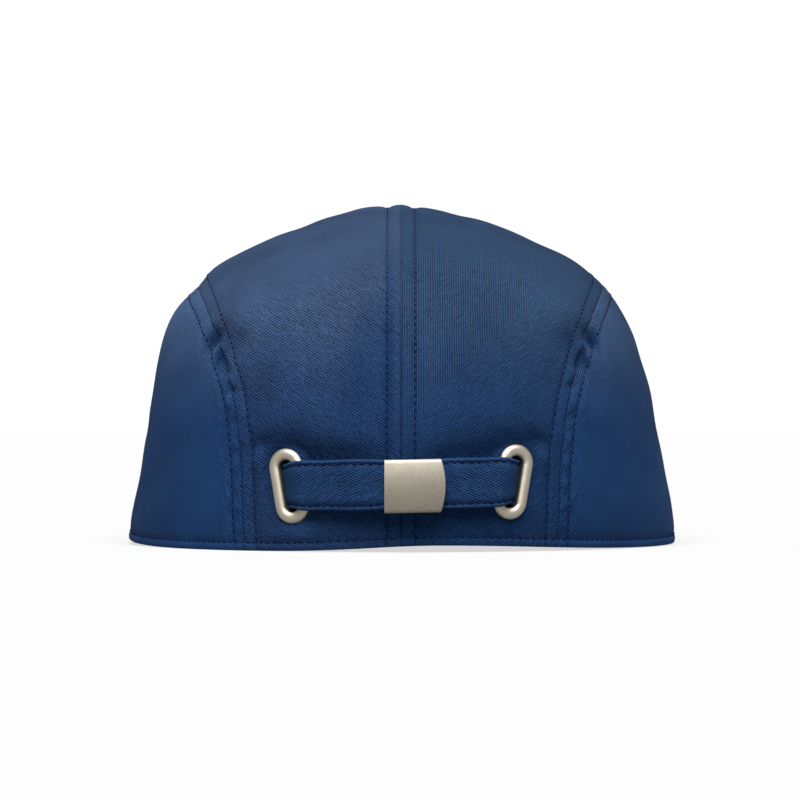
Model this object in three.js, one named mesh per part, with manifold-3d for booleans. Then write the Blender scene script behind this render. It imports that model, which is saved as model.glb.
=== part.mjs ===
// A five-panel cap of cotton twill with a flat bill, seen from behind by its back strap.
// Two oblong eyelets let the strap's ends through the back panels, and a slide buckle joins them.
// Millimetres, +Z up. The cap stands on its hem and on the flat underside of the bill, which
// points along +Y. The origin lies on that surface, under the middle of the whole cap.
import * as THREE from "three";
import { mergeVertices } from "three/addons/utils/BufferGeometryUtils.js";
import Module from "manifold-3d";

const wasm = await Module();
wasm.setup();

// Cloth and clearances
const CLOTH = 1.4; // wall of a panel: brushed twill on its backing
const HEM_CLOTH = 2.2; // the turned hem is doubled
const HEM_TURN = 3.3; // height of the hem's lip, up to its row of stitches
const GAP = 0.3; // clearance between neighbouring pieces
const TOPSTITCH = 4.4; // distance of each row of stitches from its seam
const SEAM_VALLEY = 0.7; // how far a row of stitches pulls the cloth in
const SEAM_VALLEY_WIDTH = 1.8;
const HEM_VALLEY = 0.4;

// Crown: three profiles from the hem to the top, as reach from the crown's axis and height
const SIDE_PROFILE = [
  { reach: 88.8, height: 0 },
  { reach: 88.1, height: 10 },
  { reach: 85.4, height: 24 },
  { reach: 82.3, height: 43 },
  { reach: 79.1, height: 59 },
  { reach: 76.0, height: 69 },
  { reach: 70.5, height: 79 },
  { reach: 61.5, height: 89 },
  { reach: 52.3, height: 94.6 },
  { reach: 35.2, height: 102.2 },
  { reach: 17.5, height: 107.7 },
  { reach: 0, height: 109.6 },
];
const BACK_PROFILE = [
  { reach: 101.5, height: 0 },
  { reach: 102.4, height: 13 },
  { reach: 102.0, height: 27 },
  { reach: 99.8, height: 43 },
  { reach: 95.0, height: 59 },
  { reach: 86.5, height: 74 },
  { reach: 73.5, height: 88 },
  { reach: 56.0, height: 98.5 },
  { reach: 36.0, height: 105.3 },
  { reach: 17.0, height: 108.7 },
  { reach: 0, height: 109.6 },
];
const FRONT_PROFILE = [
  { reach: 100.0, height: 0 },
  { reach: 99.0, height: 15 },
  { reach: 96.5, height: 31 },
  { reach: 92.5, height: 48 },
  { reach: 87.0, height: 64 },
  { reach: 79.0, height: 79 },
  { reach: 67.0, height: 91.5 },
  { reach: 51.0, height: 101 },
  { reach: 33.0, height: 106.8 },
  { reach: 16.0, height: 109.0 },
  { reach: 0, height: 109.6 },
];

// Seams, by angle round the crown from the back centre and share of the way up from hem to top
const SIDE_SEAM = [
  { around: 32.8, up: 0 },
  { around: 34.2, up: 0.09 },
  { around: 36.2, up: 0.18 },
  { around: 38.6, up: 0.26 },
  { around: 42.6, up: 0.335 },
  { around: 48.4, up: 0.405 },
  { around: 56.5, up: 0.47 },
  { around: 69, up: 0.522 },
  { around: 86, up: 0.553 },
  { around: 107, up: 0.565 },
  { around: 128, up: 0.56 },
];
const SHOULDER_ROW = 7; // the row of SIDE_SEAM where the seam has turned over the shoulder
const FRONT_SEAM = 128; // the seams between the front panel and the side panels go straight up here

// Dents and swells of the cloth: their place, half sizes round and up the crown, and depth inwards
const DENTS = [
  { around: -84, up: 0.48, wide: 26, tall: 12, depth: -0.9 }, // left shoulder stands out
  { around: 82, up: 0.48, wide: 26, tall: 14, depth: 0.9 }, // right shoulder lies flatter
  { around: -88, up: 0.14, wide: 36, tall: 17, depth: 0.6 }, // left wall leans in, right wall out
  { around: 88, up: 0.14, wide: 36, tall: 17, depth: -0.6 },
  { around: -51, up: 0.425, wide: 5, tall: 7, depth: 1.5 }, // puckers where the side seams turn
  { around: 53, up: 0.422, wide: 5, tall: 7, depth: 1.5 },
  { around: -40, up: 0.385, wide: 9, tall: 7, depth: 1.1 }, // hollows beside the puckers
  { around: 41, up: 0.385, wide: 9, tall: 7, depth: 1.1 },
  { around: -24, up: 0.228, wide: 13, tall: 5, depth: 1.1 }, // hollows over the eyelets
  { around: 25.5, up: 0.232, wide: 13, tall: 5, depth: 1.1 },
];
// The back of the hem rides up a little: how far its rise spreads to each side, in degrees
const HEM_LIFT = { around: 7, toLeft: 19, toRight: 32, height: 2, fades: 0.3 };

// Back strap, eyelets and buckle, placed by distance along the back wall from its middle
const STRAP = { width: 15.4, thick: 1.5, edge: 0.4, height: 20.75, slope: 0.018 };
const STRAP_GATHERS = [
  { along: -35.8, reach: 3.5, share: 0.12 },
  { along: 35.8, reach: 3.5, share: 0.12 },
  { along: 3.8, reach: 13, share: 0.055 },
];
const EYELET = { along: 35.8, length: 22.9, width: 11.4, band: 3.2, lean: 12 };
const BUCKLE = { along: 3.8, left: 9.2, right: 8.5, bow: 1.4, half: 8.4, sheet: 0.7, slot: 3 };
const LAYER = { buckleBack: 0.5, lower: 2.4, upper: 4.25, buckleFace: 5.35 }; // out from the cloth
const STRAP_THROUGH_EYELET = [
  { past: 20, out: -3.8 },
  { past: 13, out: -3.8 },
  { past: 8, out: -3.8 },
  { past: 5.2, out: -3.84 },
  { past: 3.4, out: -3.82 },
  { past: 2.2, out: -3.6 },
  { past: 1.2, out: -2.6 },
  { past: 0, out: -0.6 },
  { past: -1.3, out: 1.4 },
  { past: -2.4, out: 2.44 },
  { past: -3.5, out: 2.74 },
  { past: -5.2, out: 2.8 },
  { past: -8, out: 2.75 },
];

// Bill: a flat board between two layers of cloth
const BILL = { thick: 3.6, edge: 0.9, tuck: 3.6, corner: 128.8, reach: 168, halfWidth: 85.5, widest: 104 };
const BILL_SIDE_PULL = { x: 79, y: 72 };
const BILL_FRONT_PULL = { x: 56, y: 139 };

const COLOURS = { cloth: 0x24406f, metal: 0xb3ac9c };

// The crown's axis lies behind the origin, because the bill takes up the front
const BACK_REACH = 102.4 + LAYER.buckleFace + BUCKLE.sheet;
const CROWN_Y = (BACK_REACH - BILL.reach) / 2;

const radians = THREE.MathUtils.degToRad;

// A smooth line through rows of reach and height, which arrives level at its last row.
function profileThrough(rows) {
  const points = rows.map((row) => new THREE.Vector2(row.reach, row.height));
  const last = points[points.length - 2];
  const mirrored = new THREE.Vector2(-last.x, last.y);
  const before = points[0].clone().multiplyScalar(2).sub(points[1]);
  const extended = [before, ...points, mirrored];
  const chords = extended.slice(1).map((point, i) => point.distanceTo(extended[i]));
  const slopes = points.map((point, i) => {
    const into = point.clone().sub(extended[i]).divideScalar(chords[i]);
    const away = extended[i + 2].clone().sub(point).divideScalar(chords[i + 1]);
    const both = chords[i] + chords[i + 1];
    return into.multiplyScalar(chords[i + 1] / both).addScaledVector(away, chords[i] / both);
  });
  const stations = [0];
  for (let i = 1; i < points.length; i++) stations.push(stations[i - 1] + chords[i]);
  return { points, slopes, stations, length: stations[stations.length - 1] };
}

function pointOnProfile(profile, share) {
  const want = THREE.MathUtils.clamp(share, 0, 1) * profile.length;
  let i = 0;
  while (i < profile.stations.length - 2 && profile.stations[i + 1] <= want) i++;
  const span = profile.stations[i + 1] - profile.stations[i];
  const w = (want - profile.stations[i]) / span;
  return new THREE.Vector2()
    .addScaledVector(profile.points[i], 2 * w ** 3 - 3 * w ** 2 + 1)
    .addScaledVector(profile.slopes[i], (w ** 3 - 2 * w ** 2 + w) * span)
    .addScaledVector(profile.points[i + 1], -2 * w ** 3 + 3 * w ** 2)
    .addScaledVector(profile.slopes[i + 1], (w ** 3 - w ** 2) * span);
}

const sideProfile = profileThrough(SIDE_PROFILE);
const backProfile = profileThrough(BACK_PROFILE);
const frontProfile = profileThrough(FRONT_PROFILE);

// The plain form of the crown's outer face. around: radians from the back centre towards +X.
function crownPoint(around, up) {
  const side = pointOnProfile(sideProfile, up);
  const back = pointOnProfile(backProfile, up);
  const front = pointOnProfile(frontProfile, up);
  const sideways = Math.sin(around);
  const forwards = -Math.cos(around);
  const end = forwards < 0 ? back : front;
  const past = around - radians(HEM_LIFT.around);
  const turn = Math.atan2(Math.sin(past), Math.cos(past));
  const spread = radians(turn < 0 ? HEM_LIFT.toLeft : HEM_LIFT.toRight);
  const fade = Math.max(0, 1 - up / HEM_LIFT.fades) ** 2;
  const lift = HEM_LIFT.height * Math.exp(-((turn / spread) ** 2)) * fade;
  return new THREE.Vector3(
    side.x * sideways,
    CROWN_Y + (front.x - back.x) / 2 + ((front.x + back.x) / 2) * forwards,
    side.y * sideways ** 2 + end.y * forwards ** 2 + lift,
  );
}

// Places on the crown are kept in a flat disc, with the top at its middle and the hem as its rim.
const onDisc = (around, up) => new THREE.Vector2((1 - up) * Math.sin(around), -(1 - up) * Math.cos(around));

function fromDisc(place) {
  return crownPoint(Math.atan2(place.x, -place.y), 1 - place.length());
}

function crownNormal(place) {
  const step = 1e-3;
  const right = fromDisc(place.clone().add(new THREE.Vector2(step, 0)));
  const left = fromDisc(place.clone().sub(new THREE.Vector2(step, 0)));
  const ahead = fromDisc(place.clone().add(new THREE.Vector2(0, step)));
  const behind = fromDisc(place.clone().sub(new THREE.Vector2(0, step)));
  return right.sub(left).cross(ahead.sub(behind)).normalize();
}

const dents = DENTS.map((dent) => {
  const place = onDisc(radians(dent.around), dent.up);
  const normal = crownNormal(place);
  const sideways = new THREE.Vector3(0, 0, 1).cross(normal).normalize();
  return { ...dent, middle: fromDisc(place), sideways, upwards: normal.clone().cross(sideways) };
});

function dentDepth(point) {
  return dents.reduce((depth, dent) => {
    const away = point.clone().sub(dent.middle);
    const share = (away.dot(dent.sideways) / dent.wide) ** 2 + (away.dot(dent.upwards) / dent.tall) ** 2;
    const off = away.lengthSq() - away.dot(dent.sideways) ** 2 - away.dot(dent.upwards) ** 2;
    return depth + dent.depth * Math.exp(-share - off / dent.wide ** 2);
  }, 0);
}

const valley = (distance, middle, width, depth) => depth * Math.exp(-(((distance - middle) / width) ** 2));

// Rings of equal length, joined one to the next. capFaces closes the first and last ring.
function loft(rings, capFaces) {
  const around = rings[0].length;
  const index = [];
  const closed = !capFaces;
  const lastRing = closed ? rings.length : rings.length - 1;
  for (let r = 0; r < lastRing; r++) {
    const here = r * around;
    const next = ((r + 1) % rings.length) * around;
    for (let i = 0; i < around; i++) {
      const j = (i + 1) % around;
      index.push(here + i, here + j, next + j, here + i, next + j, next + i);
    }
  }
  if (!closed) {
    const end = (rings.length - 1) * around;
    for (const [a, b, c] of capFaces) index.push(c, b, a, end + a, end + b, end + c);
  }
  const points = rings.flat();
  let volume = 0;
  for (let t = 0; t < index.length; t += 3) {
    volume += points[index[t]].dot(points[index[t + 1]].clone().cross(points[index[t + 2]]));
  }
  if (volume < 0) index.reverse();
  return new THREE.BufferGeometry().setFromPoints(points).setIndex(index);
}

// Cap of a ring whose second half runs back beside its first half.
function stripCap(count) {
  const faces = [];
  for (let i = 0; i < count / 2 - 1; i++) {
    faces.push([i, i + 1, count - 2 - i], [i, count - 2 - i, count - 1 - i]);
  }
  return faces;
}

// Cap of a ring with any outline.
function outlineCap(outline) {
  const forwards = THREE.ShapeUtils.area(outline) > 0;
  return THREE.ShapeUtils.triangulateShape(outline, []).map(([a, b, c]) => {
    const turnsForwards = THREE.ShapeUtils.area([outline[a], outline[b], outline[c]]) > 0;
    return turnsForwards === forwards ? [a, b, c] : [c, b, a];
  });
}

function toSolid(geometry) {
  const plain = geometry.clone();
  plain.deleteAttribute("normal");
  plain.deleteAttribute("uv");
  const merged = mergeVertices(plain, 1e-4);
  return new wasm.Manifold(
    new wasm.Mesh({
      numProp: 3,
      vertProperties: new Float32Array(merged.attributes.position.array),
      triVerts: new Uint32Array(merged.index.array),
    }),
  );
}

function toGeometry(solid) {
  const mesh = solid.getMesh();
  return new THREE.BufferGeometry()
    .setAttribute("position", new THREE.BufferAttribute(new Float32Array(mesh.vertProperties), 3))
    .setIndex(new THREE.BufferAttribute(new Uint32Array(mesh.triVerts), 1));
}

// Seams as lines on the disc, each for t from 0 to 1
function lineBetween(from, to) {
  return (t) => from.clone().lerp(to, t);
}

const sideSeamCurve = new THREE.SplineCurve(SIDE_SEAM.map((row) => onDisc(radians(row.around), row.up)));
const shoulderShare = SHOULDER_ROW / (SIDE_SEAM.length - 1);
const mirrored = (side, place) => new THREE.Vector2(side * place.x, place.y);
const seamStretch = (side, from, to) => (t) => mirrored(side, sideSeamCurve.getPoint(from + (to - from) * t));
const hemStretch = (from, to, up) => (t) => onDisc(radians(from + (to - from) * t), up);
const frontCorner = (side) => mirrored(side, sideSeamCurve.getPoint(1));
const topSeamMiddle = frontCorner(1).lerp(frontCorner(-1), 0.5);

// A four-sided patch of the disc between its bottom, top, left and right edges.
function patchBetween({ bottom, top, left, right }) {
  return (u, v) => {
    const place = bottom(u).multiplyScalar(1 - v).addScaledVector(top(u), v);
    place.addScaledVector(left(v), 1 - u).addScaledVector(right(v), u);
    place.addScaledVector(bottom(0), -(1 - u) * (1 - v)).addScaledVector(bottom(1), -u * (1 - v));
    return place.addScaledVector(top(0), -(1 - u) * v).addScaledVector(top(1), -u * v);
  };
}

// Distances along one edge: some set close to its ends, the others spread out between them.
// A crowding over 1 draws the spread ones towards the start.
function stations(length, first, last, between, crowding = 1) {
  const start = first[first.length - 1];
  const end = length - last[last.length - 1];
  const shares = Array.from({ length: between }, (_, i) => ((i + 1) / (between + 1)) ** crowding);
  const middle = shares.map((share) => start + (end - start) * share);
  return [...first, ...middle, ...last.map((distance) => length - distance).reverse()];
}

const SEAM_ROWS = [0, TOPSTITCH, 2 * TOPSTITCH];
const HEM_ROWS = [0, HEM_TURN / 2, HEM_TURN, 2.2 * HEM_TURN];
const SAMPLES = 48;

// Arc length along a line of the patch, as a list of running totals.
function runningLength(pointAt) {
  const totals = [0];
  let before = pointAt(0);
  for (let i = 1; i <= SAMPLES; i++) {
    const here = pointAt(i / SAMPLES);
    totals.push(totals[i - 1] + here.distanceTo(before));
    before = here;
  }
  return totals;
}

function shareAt(totals, distance) {
  let i = 0;
  while (i < SAMPLES - 1 && totals[i + 1] < distance) i++;
  return (i + (distance - totals[i]) / (totals[i + 1] - totals[i])) / SAMPLES;
}

// Where a seam's point moves to leave half the clearance on its own side. The two edges of the
// seam that meet at the point each give a direction square to themselves, along the cloth.
function besideSeam(spot, before, after, middle) {
  const squares = [before, after]
    .filter((neighbour) => neighbour)
    .map((neighbour) => {
      const along = neighbour.point.clone().sub(spot.point);
      const square = along.cross(spot.normal).normalize();
      return square.dot(middle.clone().sub(spot.point)) < 0 ? square.negate() : square;
    });
  const both = squares.reduce((sum, square) => sum.add(square), new THREE.Vector3());
  const share = squares.length === 1 ? 1 : 1 + squares[0].dot(squares[1]);
  return spot.point.clone().addScaledVector(both, GAP / 2 / Math.max(share, 0.5));
}

// One sewn panel: a cloth wall over its patch, pulled in along the rows of stitches.
// A panel with a sill stands level at that height instead of on the hem's own line.
function panelGeometry(patch, columns, rows, { crowding = 1, sill } = {}) {
  const upMiddle = runningLength((t) => fromDisc(patch(0.5, t)));
  const height = upMiddle[SAMPLES];
  const grid = stations(height, HEM_ROWS, SEAM_ROWS, rows, crowding).map((distanceUp) => {
    const v = shareAt(upMiddle, distanceUp);
    const across = runningLength((t) => fromDisc(patch(t, v)));
    const width = across[SAMPLES];
    return stations(width, SEAM_ROWS, SEAM_ROWS, columns).map((distance) => {
      const place = patch(shareAt(across, distance), v);
      const fromSeam = Math.min(distance, width - distance, height - distanceUp);
      return { point: fromDisc(place), normal: crownNormal(place), fromSeam, distanceUp };
    });
  });

  const top = grid.length - 1;
  const end = grid[0].length - 1;
  const middle = fromDisc(patch(0.5, 0.5));
  const sides = grid.map((row, r) => [
    besideSeam(row[0], grid[r - 1]?.[0], r < top ? grid[r + 1][0] : row[1], middle),
    besideSeam(row[end], grid[r - 1]?.[end], r < top ? grid[r + 1][end] : row[end - 1], middle),
  ]);
  const topEdge = grid[top].map((spot, i) => besideSeam(spot, grid[top][i - 1], grid[top][i + 1], middle));
  const hemHeights = grid[0].map((spot) => sill ?? spot.point.z);
  grid.forEach((row, r) => {
    row[0].point = sides[r][0];
    row[end].point = sides[r][1];
  });
  for (let i = 1; i < end; i++) grid[top][i].point = topEdge[i];

  const rings = grid.map((row, r) => {
    const walls = row.map(({ point, normal, fromSeam, distanceUp }, i) => {
      const pulled =
        valley(fromSeam, TOPSTITCH, SEAM_VALLEY_WIDTH, SEAM_VALLEY) +
        valley(distanceUp, HEM_TURN, SEAM_VALLEY_WIDTH, HEM_VALLEY) +
        dentDepth(point);
      const face = point.clone().addScaledVector(normal, -pulled);
      const back = face.clone().addScaledVector(normal, distanceUp <= HEM_TURN ? -HEM_CLOTH : -CLOTH);
      if (r === 0) face.z = back.z = hemHeights[i];
      return { face, back };
    });
    return [...walls.map((wall) => wall.face), ...walls.map((wall) => wall.back).reverse()];
  });
  return loft(rings, stripCap(rings[0].length));
}

// The back wall as a flat frame: distance along it from the middle, and height above the floor
const BACK_UP = 0.12;
const BACK_SPAN = 60;
const backLine = new THREE.CatmullRomCurve3(
  Array.from({ length: 61 }, (_, i) => crownPoint(radians(((i - 30) / 30) * BACK_SPAN), BACK_UP)),
);
const backHalf = backLine.getLength() / 2;

function backFrame(along, height) {
  const { x } = backLine.getPointAt(0.5 + along / (2 * backHalf));
  const aroundAt = (up) => Math.asin(THREE.MathUtils.clamp(x / pointOnProfile(sideProfile, up).x, -1, 1));
  let low = 0;
  let high = 0.5;
  for (let i = 0; i < 24; i++) {
    const middle = (low + high) / 2;
    if (crownPoint(aroundAt(middle), middle).z < height) low = middle;
    else high = middle;
  }
  const place = onDisc(aroundAt(low), low);
  const normal = crownNormal(place);
  const sideways = new THREE.Vector3(0, 0, 1).cross(normal).normalize();
  return { point: fromDisc(place), normal, sideways, upwards: normal.clone().cross(sideways) };
}

// A point by its distance along the back wall, its height, and its distance out from the cloth.
function offBack(along, height, out) {
  const frame = backFrame(along, height);
  return frame.point.addScaledVector(frame.normal, out);
}

// The strap rises a little from left to right, and the eyelets and the buckle follow it.
const strapHeight = (along) => STRAP.height + STRAP.slope * along;

// An oblong path about the eyelet's middle, widened or narrowed by a distance from its middle line.
function eyeletPath(share, outwards) {
  const radius = (EYELET.width - EYELET.band) / 2;
  const straight = (EYELET.length - EYELET.width) / 2;
  const angle = share * 2 * Math.PI;
  const x = (radius + outwards) * Math.cos(angle);
  const y = (radius + outwards) * Math.sin(angle) + straight * Math.sign(Math.sin(angle) || 1e-9);
  return new THREE.Vector2(x, y);
}

// Turns the upright oblong by its lean: the tops of both eyelets lean towards the sides.
function leaned(side, flat) {
  return flat.clone().rotateAround(new THREE.Vector2(), -side * radians(EYELET.lean));
}

const EYELET_STEPS = 24;

// The eyelet's section: a rounded front rim, a barrel through the cloth and a flat rim inside.
const EYELET_SECTION = [
  { band: -0.5, out: 0.95 },
  { band: -0.34, out: 1.4 },
  { band: -0.05, out: 1.62 },
  { band: 0.26, out: 1.4 },
  { band: 0.45, out: 0.9 },
  { band: 0.5, out: GAP },
  { band: -0.3, out: GAP },
  { band: -0.3, out: -CLOTH - 2 * GAP },
  { band: 0.36, out: -CLOTH - 2 * GAP },
  { band: 0.3, out: -CLOTH - 2 * GAP - 0.5 },
  { band: -0.4, out: -CLOTH - 2 * GAP - 0.6 },
  { band: -0.5, out: -CLOTH - 2 * GAP - 0.3 },
];
const BARREL_BAND = -0.3;

function eyeletGeometry(side) {
  const rings = [];
  for (let i = 0; i < EYELET_STEPS; i++) {
    const share = (i + 0.5) / EYELET_STEPS;
    rings.push(
      EYELET_SECTION.map((row) => {
        const flat = leaned(side, eyeletPath(share, row.band * EYELET.band));
        const along = side * EYELET.along;
        return offBack(along + flat.x, strapHeight(along) + flat.y, row.out);
      }),
    );
  }
  return loft(rings);
}

// A plug, wider than the eyelet's barrel by the clearance, that cuts the eyelet's hole.
function eyeletHole(side) {
  const along = side * EYELET.along;
  const depth = 5;
  const outline = Array.from({ length: EYELET_STEPS }, (_, i) =>
    leaned(side, eyeletPath((i + 0.5) / EYELET_STEPS, BARREL_BAND * EYELET.band + GAP)),
  );
  const rings = [-depth, depth].map((out) =>
    outline.map((flat) => offBack(along + flat.x, strapHeight(along) + flat.y, out)),
  );
  return toSolid(loft(rings, outlineCap(outline)));
}

// The strap's flat section: half width and half thickness, with its two folded edges eased.
function strapSection() {
  const wide = STRAP.width / 2;
  const thick = STRAP.thick / 2;
  const eased = thick - STRAP.edge;
  const upper = [
    [-wide, eased],
    [-wide + STRAP.edge, thick],
    [wide - STRAP.edge, thick],
    [wide, eased],
  ];
  return [...upper, ...upper.map(([w, t]) => [w, -t]).reverse()];
}

// The strap is gathered to pass through each eyelet and the buckle, and leans with the eyelets.
const near = (along, middle, reach) => Math.exp(-(((along - middle) / reach) ** 2));
const gathered = (along) =>
  1 - STRAP_GATHERS.reduce((sum, row) => sum + row.share * near(along, row.along, row.reach), 0);

// A strap follows rows of distance along the back wall and distance out from the cloth.
function strapGeometry(rows) {
  const route = new THREE.SplineCurve(rows.map((row) => new THREE.Vector2(row.along, row.out)));
  const placeAt = (t) => {
    const flat = route.getPoint(THREE.MathUtils.clamp(t, 0, 1));
    return offBack(flat.x, strapHeight(flat.x), flat.y);
  };
  const steps = 2 * (rows.length - 1);
  const rings = [];
  for (let i = 0; i <= steps; i++) {
    const t = i / steps;
    const flat = route.getPoint(t);
    const frame = backFrame(flat.x, strapHeight(flat.x));
    const side = Math.sign(flat.x);
    const lean = side * Math.tan(radians(EYELET.lean)) * near(flat.x, side * EYELET.along, 9);
    const across = frame.upwards.clone().addScaledVector(frame.sideways, lean);
    const facing = placeAt(t + 0.002).sub(placeAt(t - 0.002)).cross(across).normalize();
    rings.push(
      strapSection().map(([wide, thick]) => {
        const up = wide * gathered(flat.x);
        return offBack(flat.x + lean * up, strapHeight(flat.x) + up, flat.y).addScaledVector(facing, thick);
      }),
    );
  }
  return loft(rings, stripCap(rings[0].length));
}

const throughEyelet = (side) =>
  STRAP_THROUGH_EYELET.map((row) => ({ along: side * (EYELET.along + row.past), out: row.out }));

function leftStrapGeometry() {
  const mouth = BUCKLE.along - BUCKLE.left;
  const rows = [
    ...throughEyelet(-1),
    { along: -22, out: 2.9 },
    { along: -15.5, out: 3.5 },
    { along: mouth - 3.5, out: LAYER.upper - 0.1 },
    { along: mouth + 1.5, out: LAYER.upper },
    { along: mouth + 8, out: LAYER.upper },
    { along: BUCKLE.along + BUCKLE.right - 1, out: LAYER.upper },
  ];
  return strapGeometry(rows);
}

function rightStrapGeometry() {
  const rows = [
    ...throughEyelet(1),
    { along: 21, out: 2.6 },
    { along: 14, out: LAYER.lower },
    { along: 8, out: LAYER.lower },
    { along: 1, out: LAYER.lower },
    { along: BUCKLE.along - BUCKLE.left + 1, out: LAYER.lower },
  ];
  return strapGeometry(rows);
}

// The buckle is sheet metal folded round the straps: a face, two folded edges and two back lips.
function buckleGeometry() {
  const { half, sheet, slot } = BUCKLE;
  const face = LAYER.buckleFace + sheet;
  const back = LAYER.buckleBack;
  const round = 0.8;
  const across = [-1, -0.66, -0.33, 0, 0.33, 0.66, 1].map((share) => share * (half - round));
  const outline = [
    ...across.map((height) => [height, face]),
    [half - 0.25, face - 0.25],
    [half, face - round],
    [half, back + round],
    [half - round, back],
    [slot, back],
    [slot, back + sheet],
    [half - sheet, back + sheet],
    [half - sheet, face - sheet],
    ...across.slice(1, -1).reverse().map((height) => [height, face - sheet]),
    [-half + sheet, face - sheet],
    [-half + sheet, back + sheet],
    [-slot, back + sheet],
    [-slot, back],
    [-half + round, back],
    [-half, back + round],
    [-half, face - round],
    [-half + 0.25, face - 0.25],
  ].map(([height, out]) => new THREE.Vector2(height, out));
  const steps = 5;
  const rings = [];
  for (let i = 0; i <= steps; i++) {
    rings.push(
      outline.map((flat) => {
        const end = BUCKLE.right + BUCKLE.bow * (1 - (flat.x / half) ** 2);
        const along = BUCKLE.along - BUCKLE.left + ((BUCKLE.left + end) * i) / steps;
        return offBack(along, strapHeight(along) + flat.x, flat.y);
      }),
    );
  }
  return loft(rings, outlineCap(outline));
}

// The bill's outline: its inner edge lies under the front panel, its sides run on from the hem's corners.
function billGeometry() {
  const hemPoint = (around) => crownPoint(radians(around), 0);
  const inside = (around) => {
    const point = hemPoint(around);
    const away = new THREE.Vector2(point.x, point.y - CROWN_Y);
    return away.setLength(away.length() - BILL.tuck).add(new THREE.Vector2(0, CROWN_Y));
  };
  const corner = hemPoint(BILL.corner);
  const cornerOut = new THREE.Vector2(corner.x, corner.y - CROWN_Y);
  const shape = new THREE.Shape();
  const { halfWidth, widest, reach } = BILL;
  const at = (y) => y + CROWN_Y;
  const front = at(reach);
  const sidePull = [BILL_SIDE_PULL.x, at(BILL_SIDE_PULL.y)];
  const cornerAt = at(cornerOut.y);
  shape.moveTo(cornerOut.x, cornerAt);
  shape.bezierCurveTo(...sidePull, halfWidth, at(widest - 15), halfWidth, at(widest));
  shape.bezierCurveTo(halfWidth, at(BILL_FRONT_PULL.y), BILL_FRONT_PULL.x, front, 0, front);
  shape.bezierCurveTo(-BILL_FRONT_PULL.x, front, -halfWidth, at(BILL_FRONT_PULL.y), -halfWidth, at(widest));
  shape.bezierCurveTo(-halfWidth, at(widest - 15), -sidePull[0], sidePull[1], -cornerOut.x, cornerAt);
  const innerSteps = 24;
  const innerEnd = 360 - BILL.corner;
  for (let i = 0; i <= innerSteps; i++) {
    const point = inside(innerEnd + ((BILL.corner - innerEnd) * i) / innerSteps);
    shape.lineTo(point.x, point.y);
  }
  shape.closePath();
  const geometry = new THREE.ExtrudeGeometry(shape, {
    depth: BILL.thick - 2 * BILL.edge,
    bevelThickness: BILL.edge,
    bevelSize: BILL.edge,
    bevelOffset: -BILL.edge,
    bevelSegments: 2,
    curveSegments: 14,
  });
  return geometry.translate(0, 0, BILL.edge);
}

const clothLook = new THREE.MeshStandardMaterial({ color: COLOURS.cloth, roughness: 0.92, metalness: 0 });
const metalLook = new THREE.MeshStandardMaterial({ color: COLOURS.metal, roughness: 0.42, metalness: 0.9 });

function piece(name, geometry, look) {
  const mesh = new THREE.Mesh(geometry, look);
  mesh.name = name;
  return mesh;
}

function backPanel(side) {
  const patch = patchBetween({
    bottom: hemStretch(0, side * SIDE_SEAM[0].around, 0),
    top: lineBetween(topSeamMiddle, frontCorner(side)),
    left: lineBetween(onDisc(0, 0), topSeamMiddle),
    right: seamStretch(side, 0, 1),
  });
  const wall = panelGeometry(patch, 5, 26, { crowding: 1.4 });
  return toGeometry(toSolid(wall).subtract(eyeletHole(side)));
}

function sidePanel(side) {
  const patch = patchBetween({
    bottom: hemStretch(side * SIDE_SEAM[0].around, side * FRONT_SEAM, 0),
    top: seamStretch(side, shoulderShare, 1),
    left: seamStretch(side, 0, shoulderShare),
    right: lineBetween(onDisc(side * radians(FRONT_SEAM), 0), frontCorner(side)),
  });
  return panelGeometry(patch, 11, 8);
}

function frontPanel() {
  const hemUp = (BILL.thick + GAP) / frontProfile.length;
  const corner = (side) => onDisc(side * radians(FRONT_SEAM), hemUp);
  const patch = patchBetween({
    bottom: hemStretch(FRONT_SEAM, 360 - FRONT_SEAM, hemUp),
    top: lineBetween(frontCorner(1), frontCorner(-1)),
    left: lineBetween(corner(1), frontCorner(1)),
    right: lineBetween(corner(-1), frontCorner(-1)),
  });
  return panelGeometry(patch, 14, 8, { sill: BILL.thick + GAP });
}

const cap = new THREE.Group();
cap.add(piece("back_panel_left", backPanel(-1), clothLook));
cap.add(piece("back_panel_right", backPanel(1), clothLook));
cap.add(piece("side_panel_left", sidePanel(-1), clothLook));
cap.add(piece("side_panel_right", sidePanel(1), clothLook));
cap.add(piece("front_panel", frontPanel(), clothLook));
cap.add(piece("bill", billGeometry(), clothLook));
cap.add(piece("strap_left", leftStrapGeometry(), clothLook));
cap.add(piece("strap_right", rightStrapGeometry(), clothLook));
cap.add(piece("eyelet_left", eyeletGeometry(-1), metalLook));
cap.add(piece("eyelet_right", eyeletGeometry(1), metalLook));
cap.add(piece("slide_buckle", buckleGeometry(), metalLook));

export default cap;
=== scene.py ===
# %% [markdown]
# # A flat bill cap, seen from behind
# The cap is sewn from five panels of brushed cotton twill: two back panels, two side panels and a
# front panel. Its back strap runs out of two metal eyelets and through a slide buckle. This
# notebook dresses the plain solids of the frame with cloth, stitches and metal, piece by piece.

import math

import bmesh
import bpy
import numpy as np
from mathutils import Matrix, Vector


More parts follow.
